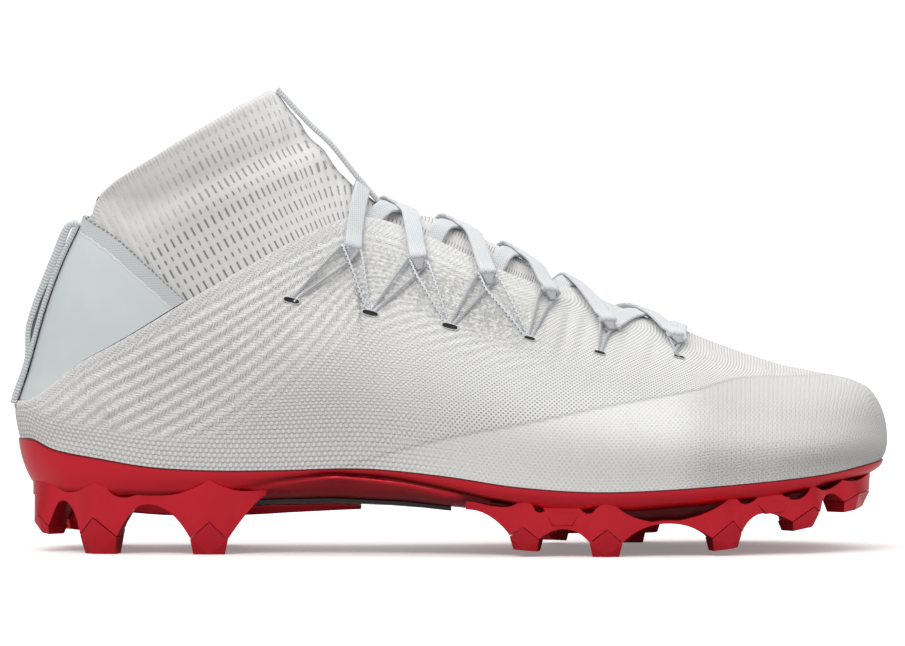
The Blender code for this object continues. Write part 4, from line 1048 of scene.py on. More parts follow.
def knit_sock():
    g = Graph("knit_sock", 0.8, Sheen_Weight=0.3, Sheen_Roughness=0.5)
    drop, edge, below, rim, inside = g.read("drop", "edge", "below", "rim", "inside")
    closer = (edge - 92).most(0.0)
    place = edge + closer * closer * 0.010
    high = drop * -1.0
    # slits in staggered rows: long ones, and short ones between them
    column = place.sine(SLIT_PITCH, math.pi / 2).size()
    line = high.sine(SLIT_ROWS, 0.4)
    lens = line * 0.5 + 0.5
    long_slit = (column - 0.905 + (1 - lens) * 0.08).step(0.0, 0.06) * line.step(0.28, 0.60)
    short_slit = column.step(0.91, 0.99) * (line * -1).step(0.74, 0.94)
    slit = long_slit.most(short_slit)
    seam = column.step(0.93, 0.995) * 0.30
    faint = (1 - rim.step(22, 48)) * (1 - below.step(18, 30)) * 0.8
    faint = below.step(1.5, 5.0) * (1 - faint)
    # fine loops of the knit between the slits
    loops = (place.sine(LOOP_PITCH[0]) * high.sine(LOOP_PITCH[1])) * 0.5 + 0.5
    grain = g.noise(0.0005, 2)
    rim_ribs = (1 - below.step(1.0, 4.5)) * rim.wave(RIM_RIB_PITCH)
    height = (1 - slit * faint) * 0.55 + (1 - column) * 0.25 + (1 - seam) * 0.15
    height = height + loops * 0.12 + grain * 0.1 + rim_ribs * 0.4
    # painted shade in the slits and, below, on the inner face
    shade = 0.13 + slit * faint * (0.45 + below.step(6, 26) * 0.55) * 0.58 + rim_ribs * 0.16
    shade = shade + (g.noise(0.02, 2) - 0.5) * 0.06 + inside * 0.08 + seam * faint * 0.25
    # painted light and shade: the back of the sock darker and its front lighter, as the light falls
    # on it
    shade = shade + (1 - rim.step(20, 60)) * 0.07 - rim.step(40, 75) * 0.09
    g.colour(g.blend(shade, (0.86, 0.852, 0.835), (0.13, 0.125, 0.12)))
    g.roughness(0.82 + grain * 0.1)
    g.bump(height, SOCK_BUMP, 0.9)
    return g.material


# Seam above the heel film, on the sock
FILM_SEAM = (
    (0.074, 0.96), (0.084, 0.948), (0.116, 0.902), (0.15, 0.83), (0.18, 0.764), (0.196, 0.729),
)


def make_film():
    top = side_line(FILM_SEAM, INSTEP_HEIGHT)
    end = top_line.share_at_x(FILM_SEAM[-1][0] * LENGTH)
    foot = top_line.between(0, end).moved(1.2 * GAP)
    back = back_line(foot.points[0, 1], top.points[0, 1])
    front = Line([foot.points[-1], top.points[-1]])
    rows = loop_levels(foot, top, back, front, *FILM_FINE, closed=False)
    under, along = from_line(top, rows[..., 0], rows[..., 2])
    normal = normals_of(rows, closed=False)
    dent = 0.25 * bell(under - 14, 7) * np.sin(along / 14)
    outer = rows - normal * ((UPPER_WALL - FILM_WALL + dent / MM)[..., None])
    inner = outer - normal * FILM_WALL
    levels, count, _ = rows.shape
    size = levels * count
    faces = grid_faces(levels, count, False)
    faces += [tuple(size + i for i in reversed(f)) for f in faces]
    outline = list(range(count)) + [k * count + count - 1 for k in range(1, levels)]
    outline += [(levels - 1) * count + i for i in range(count - 2, -1, -1)]
    outline += [k * count for k in range(levels - 2, 0, -1)]
    faces += [(a, b, b + size, a + size) for a, b in zip(outline, outline[1:] + outline[:1])]
    values = {"under": np.tile(under.ravel(), 2), "along": np.tile(along.ravel(), 2)}
    points = np.vstack([outer.reshape(-1, 3), inner.reshape(-1, 3)])
    add_piece("heel_counter_film", points, faces, counter_film(), 60, values, ("heel_film",))


# The film's knit band along its upper edge, in millimetres: width, pitches of its seam and knit
FILM_BAND = 3.6
SEAM_PITCH = 1.7
BAND_PITCH = (1.2, 1.1)


def counter_film():
    g = Graph("counter_film", 0.38, Coat_Weight=0.25, Coat_Roughness=0.3)
    under, along = g.read("under", "along")
    jag = g.noise(0.0022, 3) * 1.3 + g.noise(0.008, 2) * 1.5
    edge = under - FILM_BAND - jag
    band = 1 - edge.step(-0.1, 0.1)
    white = edge.step(-0.1, 0.05) * (1 - edge.step(0.35, 0.8))
    stitch = (1 - under.step(0.25, 0.4)) * along.wave(SEAM_PITCH).step(0.15, 0.4)
    knit = (along.sine(BAND_PITCH[0]) * under.sine(BAND_PITCH[1])) * 0.5 + 0.5
    cloud = g.noise(0.012, 3)
    colour = g.blend(cloud, (0.68, 0.73, 0.74), (0.75, 0.79, 0.80))
    colour = g.blend(band, colour, (0.60, 0.63, 0.63))
    colour = g.blend(white * 0.8, colour, (0.86, 0.88, 0.88))
    colour = g.blend(stitch * 0.75, colour, (0.16, 0.16, 0.17))
    g.colour(colour)
    g.roughness(0.36 + band * 0.3 + cloud * 0.08)
    g.bump(white * 0.6 + knit * band * 0.5 + cloud * 0.2 + (1 - stitch) * 0.4, 0.00025, 0.8)
    return g.material


def ladder_fine(loop, across, height):
    """Points and faces across a closed loop. height: function of x, share and edge height."""
    half = len(loop) // 2
    points, chains = [], [[0]]
    for i in range(1, half):
        a, b = loop[i], loop[-i]
        chain = [i]
        for j in range(1, across):
            share = j / across
            p = a + (b - a) * share
            p[2] = height(p[0], share, p[2])
            chain.append(len(loop) + len(points))
            points.append(p)
        chain.append(len(loop) - i)
        chains.append(chain)
    chains.append([half])
    faces = [(0, a, b) for a, b in zip(chains[1], chains[1][1:])]
    for c, d in zip(chains[1:-2], chains[2:-1]):
        faces += [(c[j], d[j], d[j + 1], c[j + 1]) for j in range(across)]
    faces += [(a, half, b) for a, b in zip(chains[-2], chains[-2][1:])]
    return points, faces


def wall_curve(rim, middle, edge, share):
    """The sidewall's curve from the rim (0) to the lower edge (1)."""
    control = 2 * middle - 0.5 * (rim + edge)
    return (1 - share) ** 2 * rim + 2 * share * (1 - share) * control + share**2 * edge


def make_plate_cup():
    rim, middle, edge, inward = sidewall_rows(PLATE_FINE)
    count = len(rim)
    up = np.array([0.0, 0.0, 1.0])
    rows = [rim + inward * PLATE_WALL * 0.8, rim + inward * 0.0004 + up * 0.0002]
    # painted shade: the rim's top rows dark where the upper sits on it
    painted_shade_rows = [np.full(count, 0.8), np.full(count, 0.5)]
    stations, centres, strengths = np.array(ARCH_BAND).T
    for share in np.linspace(0, 1, 22):
        row = wall_curve(rim, middle, edge, share)
        # the waist of the arch: a groove under the rim
        u = row[:, 0] / LENGTH
        waist = np.interp(u, stations, strengths, 0, 0)
        centre = np.interp(u, stations, centres)
        groove = waist * bell(share - centre, 0.13)
        ridge = waist * bell(share - centre - 0.27, 0.12)
        rows.append(row + inward * (GROOVE_DEPTH * groove - RIDGE_HEIGHT * ridge)[:, None])
        # painted shade along the rim line and in the arch's groove, and painted dark reflections
        # low on the sidewall
        edge_line = 0.9 if share == 0 else 0.0
        low = np.array([reflection(station, share) for station in u])
        painted_shade_rows.append(np.maximum(0.9 * groove, np.maximum(edge_line, low)))
    rows.append(edge + inward * 0.0006 - up * 0.0003)
    painted_shade_rows.append(np.zeros(count))
    faces = grid_faces(len(rows), count, True)
    under, under_faces = ladder_fine(rows[-1], 16, bottom_z)
    base = (len(rows) - 1) * count
    faces += [tuple(base + i for i in f) for f in under_faces]
    points = np.vstack([*rows, under])
    # inner face
    start = len(points)
    low = edge + inward * PLATE_WALL + up * PLATE_WALL
    floor, floor_faces = ladder_fine(low, 8, floor_z)
    points = np.vstack([points, low, floor])
    faces += band(0, start, count)
    faces += [tuple(start + i for i in f) for f in floor_faces]
    shade = np.zeros(len(points))
    shade[: len(rows) * count] = np.array(painted_shade_rows).ravel()
    red_piece("plate_cup", points, faces, 40, shade)


def floor_z(x, share, edge_z):
    """Height of the plate's inner floor."""
    return bottom_z(x, share, edge_z - PLATE_WALL) + PLATE_WALL


def red_piece(name, points, faces, angle, dark=None, bevel=0.0):
    """A piece of the plate. dark: strength of the painted shade and painted dark reflections at its
    points.
    """
    dark = np.zeros(len(points)) if dark is None else dark
    values = {"dark": dark}
    add_piece(name, points, faces, RED_PLATE, angle, values, ("plate",), bevel)


def arch(share, power=ARCH_POWER):
    """Rise of an arch from its foot at 0 to its top at 1."""
    return 1 - (1 - share) ** power


def skirt_height(u, table, ends):
    """Seam height on a stud, and lower edge of the web beside it."""
    for row in table:
        if row["left"] - 1e-9 <= u <= row["right"] + 1e-9:
            seam = [row[key] for key in ("seam_left", "seam_peak", "seam_right")]
            return np.interp(u, [row[key] for key in ("left", "peak", "right")], seam)
    (start_u, start_v), (end_u, end_v) = ends
    before = [row for row in table if row["right"] < u]
    after = [row for row in table if row["left"] > u]
    if not before:
        foot_u, foot_v = after[0]["left"], after[0]["seam_left"]
        return foot_v + arch((foot_u - u) / (foot_u - start_u)) * (start_v - foot_v)
    foot_u, foot_v = before[-1]["right"], before[-1]["seam_right"]
    if not after:
        power = HEEL_END_POWER if end_u < 0.5 else ARCH_POWER
        return foot_v + arch((u - foot_u) / (end_u - foot_u), power) * (end_v - foot_v)
    way, top_v = ARCH_TOPS[before[-1]["name"]]
    top_u = foot_u + way * (after[0]["left"] - foot_u)
    if u > top_u:
        foot_u, foot_v = after[0]["left"], after[0]["seam_left"]
    return foot_v + arch((u - foot_u) / (top_u - foot_u)) * (top_v - foot_v)


def stud_curves(studs, ends):
    """Dense rows of one run of studs: x, lower z, how far the ridge reaches up the wall and to
    which height, and how far the row lies on a stud and near its ridge."""
    table = [dict(zip(STUD_COLUMNS, stud)) for stud in studs]
    marks = [ends[0][0], ends[1][0]]
    for row in table:
        marks += [row["left"], row["peak"], row["right"]]
    for row, after in zip(table, table[1:]):
        marks.append(row["right"] + ARCH_TOPS[row["name"]][0] * (after["left"] - row["right"]))
    marks = sorted(marks)
    stations = []
    for a, b in zip(marks, marks[1:]):
        steps = max(2, int((b - a) * LENGTH / STUD_STEP))
        stations += list(np.linspace(a, b, steps, endpoint=False))
    out = []
    for u in stations + [marks[-1]]:
        apex, crest, on_stud, rise = 0.0, 0.0, 0.0, 0.0
        for row in table:
            reach = BIG_RIDGE if row["name"] in BIG_STUDS else SMALL_RIDGE
            near = max(0.0, 1 - abs(u - row["peak"]) / reach) ** RIDGE_POWER
            if near > 0 and near >= apex:
                apex, crest = near, row["apex"]
            half = (row["right"] - row["left"]) / 2
            off = abs(u - (row["left"] + row["right"]) / 2) / half
            on_stud = max(on_stud, float(smooth(-0.35, 0.15, 1 - off)))
            rise = max(rise, 1 - abs(u - row["peak"]) / (half * 1.05))
        low = skirt_height(u, table, ends) * SOLE_HEIGHT
        out.append((u * LENGTH, low, apex, crest * SOLE_HEIGHT, on_stud, rise))
    return out


# Recesses under the sidewall's lower edge: from, to, height in millimetres, place of the
# tallest point as a share of the way, and depth in millimetres
RECESSES = (
    (0.045, 0.088, 1.0, 0.55, 1.6), (0.107, 0.14, 1.9, 0.35, 2.4), (0.14, 0.205, 0.5, 0.3, 1.2),
    (0.24, 0.287, 0.4, 0.5, 0.8), (0.522, 0.574, 1.0, 0.75, 2.2), (0.592, 0.611, 2.4, 0.35, 2.4),
    (0.645, 0.666, 2.4, 0.6, 2.4), (0.688, 0.814, 5.6, 0.47, 4.2), (0.825, 0.849, 2.0, 0.45, 2.2),
    (0.877, 0.909, 3.0, 0.55, 2.6), (0.916, 0.946, 2.2, 0.4, 2.4), (0.946, 0.978, 1.2, 0.5, 1.8),
)
# Dark reflections low on the sidewall: from, to, the share of its height where they start,
# and strength
REFLECTIONS = (
    (0.04, 0.09, 0.8, 0.45), (0.1, 0.212, 0.74, 0.65), (0.232, 0.3, 0.8, 0.35),
    (0.5, 0.58, 0.58, 0.95), (0.588, 0.614, 0.86, 0.6), (0.642, 0.669, 0.86, 0.6),
    (0.69, 0.815, 0.88, 0.5), (0.825, 0.865, 0.78, 0.6), (0.872, 0.912, 0.7, 0.75),
    (0.916, 0.98, 0.66, 0.7),
)
# The dark band along the arch, a groove with painted shade in it: station, share of the sidewall's
# height, strength
ARCH_BAND = (
    (0.24, 0.92, 0.0), (0.268, 0.78, 0.4), (0.3, 0.5, 0.7), (0.36, 0.26, 1.0), (0.43, 0.38, 1.0),
    (0.505, 0.6, 1.0), (0.56, 0.86, 0.9), (0.6, 0.98, 0.0),
)


# Height and depth of the seam line under the wall between recesses, and the least of both
SEAM_LINE = (0.00022, 0.0004)
LEAST = 0.00003


def recess(u):
    """Height and depth, in metres, of the recess at a station."""
    for start, end, tall, way, deep in RECESSES:
        if start < u < end:
            share = (u - start) / (end - start)
            share = 0.5 * share / way if share < way else 0.5 + 0.5 * (share - way) / (1 - way)
            strength = math.sin(math.pi * share) ** 0.7
            return tall / MM * strength, deep / MM * min(1.0, strength * 1.5)
    return 0.0, 0.0


def reflection(u, share):
    """Strength of the dark reflection on the sidewall."""
    dark = 0.0
    for start, end, low, strength in REFLECTIONS:
        if start < u < end:
            fade = min(1.0, math.sin(math.pi * (u - start) / (end - start)) * 1.6)
            dark = max(dark, strength * fade * float(smooth(low, low + 0.16, share)))
    return dark


def make_skirt_fine(name, side, studs, ends):
    """A run of studs: the web under the plate's edge, with recesses, and the studs' bases."""
    wall = Side.pair[side]
    points, dark = [], []
    fore = studs[0][0].startswith("fore")
    for x, low, apex, crest, on_stud, rise in stud_curves(studs, ends):
        edge, inward = wall.edge(x), wall.inward(x)
        crease = edge[2] + 0.0008
        upper_z = crease + (max(crest, crease) - crease) * apex
        on_wall = wall.wall(x, upper_z)
        flare = WEB_FLARE + (SEAM_FLARE - WEB_FLARE) * on_stud + STUD_CREASE * rise
        width = WEB_WIDTH + (STUD_SEAM_WIDTH - WEB_WIDTH) * on_stud
        inner_top = wall.under(x, WEB_WIDTH + (STUD_BASE_WIDTH - WEB_WIDTH) * on_stud)
        low = min(low, edge[2] - GAP)
        inner_z = min(low, inner_top[2] - GAP)
        inner_top[2] += PLATE_WALL / 2
        # the seam line under the wall is left out where a ridge runs up the forefoot's wall
        line = 1 - min(1.0, 1.8 * apex) if fore else 1.0
        tall, deep = recess(x / LENGTH)
        tall = min(max(tall, SEAM_LINE[0] * line, LEAST), 0.8 * (upper_z - low))
        deep = max(deep, SEAM_LINE[1] * line, LEAST)
        depth = max(deep, 0.0001)
        top = on_wall - inward * 0.0001
        outer_low = edge - inward * flare
        inner_low = edge + inward * (width - flare)
        outer_low[2], inner_low[2] = low, inner_z
        proud = top - inward * 0.00025
        way = tall / (upper_z - low)
        rim = proud * (1 - way) + outer_low * way
        down = np.array([0, 0, -0.0002]) * (1 if tall > 0.0001 else 0.1)
        back_top, back_low = top + inward * depth, rim + inward * depth
        back_top[2] -= 0.2 * tall
        middle = proud * (0.5 - 0.5 * way) + outer_low * (0.5 + 0.5 * way)
        near_low = rim * 0.08 + outer_low * 0.92
        # painted shadow in the recesses and along the seam line, and painted shade on the web's
        # underside, carried by dark
        shadow = max(0.55 * line, min(1.0, deep * MM / 1.2))
        points += [on_wall + inward * 0.0012, top, back_top, back_low, rim + inward * 0.0003]
        points += [rim + down, middle, near_low, outer_low, inner_low, inner_top]
        dark += [shadow, shadow, shadow, shadow, 0.35 * shadow, 0, 0, 0, 0.05, 0.2, 0.8]
    sides = 11
    red_piece(name, points, loft_faces(len(points) // sides, sides), 32, dark)


def make_centre_stud_fine(name, station, foot_height):
    x = station * LENGTH
    a, b = Side.pair[LATERAL].edge(x), Side.pair[MEDIAL].edge(x)
    centre = (a + b) / 2
    top = bottom_z(x, 0.5, a[2]) + PLATE_WALL / 2
    foot = foot_height * SOLE_HEIGHT
    sides = 28
    points = []
    for z, grow in ((top, 1.35), (top * 0.7 + foot * 0.3, 1.12), (foot, 0.85)):
        for turn in [math.tau * k / sides for k in range(sides)]:
            i, j = CENTRE_STUD_LENGTH / 2 * math.cos(turn), CENTRE_STUD_WIDTH / 2 * math.sin(turn)
            points.append((centre[0] + grow * i, centre[1] + grow * j, z))
    red_piece(name, points, loft_faces(3, sides), 30, bevel=0.0005)


# Raised facets on the forefoot's skirts: corners as station and height in millimetres
FACETS = (
    ((0.603, 17.0), (0.651, 16.4), (0.638, 10.6), (0.615, 10.4)),
    ((0.843, 18.4), (0.865, 21.2), (0.885, 19.6), (0.878, 14.4), (0.858, 13.9)),
)
# Rings of a facet: distance in from the plate's edge in metres, size, and darkness, which is
# painted shade on the facet's sides
FACET_RINGS = ((-0.0012, 0.90, 0), (-0.0011, 0.94, 0.2), (-0.0005, 1.0, 1), (0.0015, 1.0, 1))


def make_facets():
    for label, side in SIDES:
        wall = Side.pair[side]
        for k, corners in enumerate(FACETS):
            middle = np.mean(corners, axis=0)
            points, dark = [], []
            for depth, size, shade in FACET_RINGS:
                for u, high in middle + (np.array(corners) - middle) * size:
                    p = wall.edge(u * LENGTH) + wall.inward(u * LENGTH) * depth
                    points.append((p[0], p[1], high / MM))
                    dark.append(shade)
            faces = loft_faces(len(FACET_RINGS), len(corners))
            red_piece(f"plate_facet_{label}_{k + 1}", points, faces, 20, dark)


def make_spine_fine():
    line = side_line(SPINE, SOLE_HEIGHT)
    shank = SHANK_REACH[0] * LENGTH
    start, end = line.points[0, 0], line.points[-1, 0]
    points = []
    for x in [*np.linspace(start, shank - 0.004, 24), *np.linspace(shank - 0.001, end, 24)]:
        low = line.at(line.share_at_x(x))[1]
        edge = Side.pair[LATERAL].edge(x)
        under = bottom_z(x, 0.5, edge[2])
        high = under + PLATE_WALL / 2 if x < shank - 0.002 else under - SHANK_WALL - 2 * GAP
        high = max(high, low + SPINE_WALL)
        y = (edge[1] + Side.pair[MEDIAL].edge(x)[1]) / 2
        top, foot = SPINE_WIDTH / 2, SPINE_WIDTH / 2 - SPINE_TAPER
        points += [(x, y - top, high), (x, y + top, high), (x, y + foot, low), (x, y - foot, low)]
    red_piece("spine_bar", points, loft_faces(48, 4), 30, bevel=0.0006)


def red_plate(name, deep=0.0):
    g = Graph(name, 0.30, Metallic=0.8, Coat_Weight=0.25, Coat_Roughness=0.10)
    cloud = g.noise(0.010, 3)
    flow = g.noise(0.004, 2, (1, 1, 0.25))
    speck = g.noise(0.00045, 2)
    scuff = g.noise(0.0016, 4).step(0.66, 0.78) * 0.5
    shade = (cloud - 0.5) * 0.25 + (flow - 0.5) * 0.15 + 0.5
    # painted shade and painted reflections: the dark attribute pulls the red towards near black
    fall = g.read("dark")[0] + deep
    red = g.blend(shade, (0.84, 0.020, 0.038), (1.0, 0.032, 0.058))
    g.colour(g.blend(fall, red, (0.10, 0.001, 0.003)))
    g.roughness(0.26 + cloud * 0.10 + scuff * 0.12 + speck * 0.04)
    g.bump(speck * 0.5 + scuff * 0.2 + cloud * 0.4, 0.00004, 0.6)
    return g.material


def make_plate():
    Side.pair = {LATERAL: Side(LATERAL), MEDIAL: Side(MEDIAL)}
    make_plate_cup()
    for (label, side), studs in zip(SIDES, (LATERAL_STUDS, MEDIAL_STUDS)):
        make_skirt_fine("plate_heel_" + label, side, studs[:3], HEEL_ENDS)
        make_skirt_fine("plate_fore_" + label, side, studs[3:], FORE_ENDS)
    for k, row in enumerate(CENTRE_STUDS):
        make_centre_stud_fine(f"centre_stud_{k + 1}", *row)
    make_facets()
    make_spine_fine()
    for name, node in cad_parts.items():
        if name.startswith("tip_"):
            dress(node, RED_TIP)
            soften(node)


def dress(node, finish):
    """Give a CAD node a better material."""
    node.data.materials.clear()
    node.data.materials.append(finish)


def strap(
    name, path, across, up, profile, finish, replaced=(), widths=None, depths=None
):
    """A bar along a path. profile: points of its section as (across, up, pattern), in metres."""
    along = distances(path) * MM
    widths = np.ones(len(path)) if widths is None else widths
    depths = np.ones(len(path)) if depths is None else depths
    points, u, v = [], [], []
    for p, a, n, s, wide, deep in zip(path, across, up, along, widths, depths):
        for i, j, c in profile:
            points.append(p + a * i * wide + n * j * deep)
            u.append(s)
            v.append(c * MM)
    faces = loft_faces(len(path), len(profile))
    return add_piece(name, points, faces, finish, 50, {"long": u, "wide": v}, replaced)


def frames(path, normals):
    """Unit vectors across and up from a path."""
    run = headings(path)
    across = np.cross(run, normals)
    across /= np.linalg.norm(across, axis=1, keepdims=True)
    return across, np.cross(across, run)


def flat_profile(width, wall, count=9, turns=4):
    """Section of a flat lace or strap with round edges, and a pattern length round it."""
    half, deep = width / 2, wall / 2
    flat = half - deep
    out = []
    for way in (1, -1):
        out += [(i * way, -deep * way, i * way) for i in np.linspace(-flat, flat, count)]
        for turn in np.linspace(-math.pi / 2, math.pi / 2, turns + 1)[1:-1]:
            c = flat + deep * (math.pi / 2 - abs(turn))
            i, j = flat + deep * math.cos(turn), deep * math.sin(turn)
            out.append((i * way, j * way, c * way))
    return out


def lace_path(start, crossing, end, lift, tucked=None):
    """Path of one lace from a lateral point over the ridge to a medial one. tucked: the side
    whose half dives under the shell's edge."""
    x0, z0 = start[0] * LENGTH, start[1] * INSTEP_HEIGHT
    x1, z1 = end[0] * LENGTH, end[1] * INSTEP_HEIGHT
    middle = crossing * LENGTH
    share = np.linspace(0, 1, 41)
    x = np.concatenate([x0 + (middle - x0) * share, middle + (x1 - middle) * share[1:]])
    turn = np.concatenate([-turn_at(x0, z0) * (1 - share), turn_at(x1, z1) * share[1:]])
    normals = skin_normal(x, turn)
    throat = 1 - smooth(0.565, 0.61, crossing)
    sink = THROAT_SINK * throat * (1 - smooth(0.04, 0.20, np.abs(turn)))
    height = 2 * GAP + LACE_WALL / 2 + lift - sink
    if tucked is not None:
        mine = turn * tucked > 0
        edge_turn = turn_at(x, np.interp(x, top_line.points[:, 0], top_line.points[:, 1]))
        dive = smooth(-0.10, 0.01, np.abs(turn) - edge_turn) * mine
        height = height * (1 - dive) - dive * TUCK_DEPTH
        keep = ~(mine & (np.abs(turn) > edge_turn + 0.09))
        x, turn, normals, height = x[keep], turn[keep], normals[keep], height[keep]
    return skin(x, turn) + normals * height[:, None], normals


def turn_end(path, normals, name):
    """End a lace in a round fold over its loop, with its shaded inner face below."""
    reach = np.linalg.norm(path - path[0], axis=1)
    keep = reach > LACE_FOLD
    away = path[0] - path[np.argmax(keep)]
    away /= np.linalg.norm(away)
    n = normals[0]
    # the inner face, narrowing towards the loop's crossing
    below = np.array([path[0] + away * s + n * l for s, l in LACE_INNER])
    across, up = frames(below, np.tile(n, (len(below), 1)))
    widths = np.linspace(0.90, 0.30, len(below))
    profile = flat_profile(LACE_WIDTH, LACE_INNER_WALL)
    strap(name, below, across, up, profile, LACE_SHADE, (), widths)
    path, normals = path[keep], normals[keep]
    rise = 2 * FOLD_RADIUS * (1 - smooth(0.0, 0.006, reach[keep] - LACE_FOLD))
    path = path + normals * rise[:, None]
    extra, turned = [], []
    for a in np.linspace(0, math.pi, 9)[1:]:
        out, back = math.sin(a), 1 - math.cos(a)
        extra.append(path[0] + away * FOLD_RADIUS * out - n * FOLD_RADIUS * back)
        turned.append(n * math.cos(a) + away * out)
    extra.append(extra[-1] - away * FOLD_TAIL)
    turned.append(turned[-1])
    return np.vstack([extra[::-1], path]), np.vstack([turned[::-1], normals])


def lace_piece(name, path, normals, ends):
    """One lace. ends: whether its first and last end fold round a loop."""
    for k, folded in enumerate(ends):
        if folded:
            path, normals = turn_end(path, normals, f"{name}_fold_{k + 1}")
        path, normals = path[::-1], normals[::-1]
    across, up = frames(path, normals)
    strap(name, path, across, up, flat_profile(LACE_WIDTH, LACE_WALL), LACE, ("laces",))


def make_laces():
    points = LACE_POINTS
    bars = (("top", points[0], CROSSINGS[0]), ("toe", points[-1], TOE_BAR_CROSSING))
    for label, station, crossing in bars:
        path, normals = lace_path(station, crossing, station, LACE_BITE)
        lace_piece("lace_bar_" + label, path, normals, (True, True))
    for k, crossing in enumerate(CROSSINGS[1:]):
        # the upper crossings come out from under the shell's edge
        hidden = k < 4
        low, high = (LATERAL, MEDIAL) if hidden else (None, None)
        path, normals = lace_path(points[k], crossing, points[k + 1], 0.0, low)
        lace_piece(f"lace_under_{k + 1}", path, normals, (not hidden, True))
        path, normals = lace_path(points[k + 1], crossing, points[k], OVER_LIFT, high)
        lace_piece(f"lace_over_{k + 1}", path, normals, (True, not hidden))


def lace_material(name, light, dark):
    g = Graph(name, 0.75, Sheen_Weight=0.2)
    long, wide = g.read("long", "wide")
    row = (long + wide.size() * 0.55).wave(0.85)
    cross = (wide + long * 0.15).wave(0.75)
    weave = row * cross
    # the lace's edges are painted darker as shade
    edge = wide.size().step(2.55, 2.98) * 0.6
    grain = g.noise(0.0003, 2)
    shade = (1 - weave) * 0.55 - 0.12 + edge * 0.15 + (g.noise(0.005, 2) - 0.5) * 0.08
    g.colour(g.blend(shade, light, dark))
    g.roughness(0.7 + grain * 0.15)
    g.bump(weave * 0.8 + grain * 0.2, 0.00025, 0.9)
    return g.material


# Laces: how far the front face stops short of the lacing point, the radius and tail of its
# fold, and the inner face below it as distance past that point and lift, in metres
LACE_FOLD = 0.0027
FOLD_RADIUS = 0.00055
FOLD_TAIL = 0.0015
LACE_INNER = (
    (-0.0036, 0.0003), (-0.0024, 0.0002), (-0.0010, 0.0001), (0.0004, -0.0001), (0.0016, -0.0004)
)
LACE_INNER_WALL = 0.0009

# Slots of the cables in the knit: station and height
CABLE_HOLES = (
    (0.3177, 0.7265), (0.4074, 0.6894), (0.4983, 0.6522), (0.589, 0.618), (0.669, 0.576),
    (0.76, 0.56),
)
# Each cable: lacing point, hole, kind, and share of the common size of its loop
CABLE_LOOPS = (
    (0, 0, "cord", 1.0), (0, 1, "tape", 1.0), (1, 1, "cord", 1.0), (1, 2, "tape", 1.0),
    (2, 2, "cord", 1.0), (2, 3, "tape", 1.0), (3, 3, "cord", 1.0), (4, 4, "cord", 0.8),
    (5, 5, "cord", 0.8),
)
# Where a cable holds the lace, from the lacing point: two corners, the crossing below and the
# middle of the lace
LOOP_CORNERS = ((-0.0122, 0.0250), (0.0100, 0.0120))
LOOP_CROSS = (-0.0034, -0.0229)
LOOP_MIDDLE = (0.0, 0.010)
CABLE_FOOT = -0.0007
CORD_THICKNESS, TAPE_THICKNESS = 0.00105, 0.00095
# Length of a pattern round a cable, and how far its stretches bow out, share of their length
PATTERN_ROUND = 0.0024
CABLE_BOW = 0.045
# Slots: half-length and half-width in metres, tilt in the side view, size of the front three,
# and rings as growth and lift
SLOT_SIZE = (0.0028, 0.00095)
SLOT_TILT = math.radians(14)
FRONT_SLOT = 0.7
SLOT_RINGS = ((1.14, 0.00005), (1.05, 0.00030), (0.96, 0.00030), (0.86, 0.00010))


def on_skin(u, v, side, lift=0.0):
    """Point above the outer surface at a station and height, and the normal there."""
    x = u * LENGTH
    turn = side * turn_at(x, v * INSTEP_HEIGHT)
    normal = skin_normal(x, turn)
    return skin(x, turn) + normal * lift, normal


def cable_stops(point, hole, kind, size):
    """Stations, heights and lifts that a cable runs through, from its slot and back to it."""
    (pu, pv), (hu, hv) = LACE_POINTS[point], CABLE_HOLES[hole]
    offsets = (*LOOP_CORNERS, LOOP_MIDDLE, LOOP_CROSS)
    left, right, middle, cross = [(pu + du * size, pv + dv * size) for du, dv in offsets]
    if kind == "cord":
        top = 0.0013 if point < 3 else 0.0009
        return (
            (hu - 0.0008, hv, CABLE_FOOT), (*left, 0.0015), (*middle, 0.0012),
            (*right, 0.0017), (*cross, top), (hu + 0.0022, hv - 0.002, CABLE_FOOT),
        )
    return (
        (hu + 0.0002, hv, CABLE_FOOT), (*right, 0.0020), (*middle, 0.0012),
        (*left, 0.0019), (*cross, 0.0020), (hu - 0.0030, hv + 0.002, CABLE_FOOT),
    )


def make_cable(label, side, point, hole, kind, size):
    stops = cable_stops(point, hole, kind, size)
    places = []
    for a, b in zip(stops, stops[1:]):
        length = math.hypot((b[0] - a[0]) * LENGTH, (b[1] - a[1]) * INSTEP_HEIGHT)
        for share in np.linspace(0, 1, 12)[:-1]:
            u, v, lift = [p + (q - p) * share for p, q in zip(a, b)]
            lift += CABLE_BOW * length * math.sin(math.pi * share)
            places.append(on_skin(u, v, side, lift))
    places.append(on_skin(*stops[-1][:2], side, stops[-1][2]))
    path, normals = [np.array(column) for column in zip(*places)]
    for _ in range(2):
        path[1:-1] = 0.5 * path[1:-1] + 0.25 * (path[:-2] + path[2:])
    across, up = frames(path, normals)
    thick = CORD_THICKNESS if kind == "cord" else TAPE_THICKNESS
    section = []
    for a in np.linspace(0, math.tau, 13)[:-1]:
        i, j = 0.5 * math.cos(a) * thick, 0.5 * math.sin(a) * thick
        section.append((i, j, a / math.tau * PATTERN_ROUND))
    node = f"lace_loop_{label}_{point + 1}"
    finish = CORD if kind == "cord" else TAPE
    name = f"cable_{label}_{point + 1}_{kind}"
    strap(name, path, across, up, section, finish, (node,))


def make_cables():
    for label, side in SIDES:
        for row in CABLE_LOOPS:
            make_cable(label, side, *row)
        for k, (u, v) in enumerate(CABLE_HOLES):
            make_slot(f"cable_hole_{label}_{k + 1}", u, v, side, 1.0 if k < 3 else FRONT_SLOT)


def rounded_square(angle, power=0.7):
    """Point of a rounded rectangle's outline, both coordinates from -1 to 1."""
    c, w = math.cos(angle), math.sin(angle)
    return math.copysign(abs(c) ** power, c), math.copysign(abs(w) ** power, w)


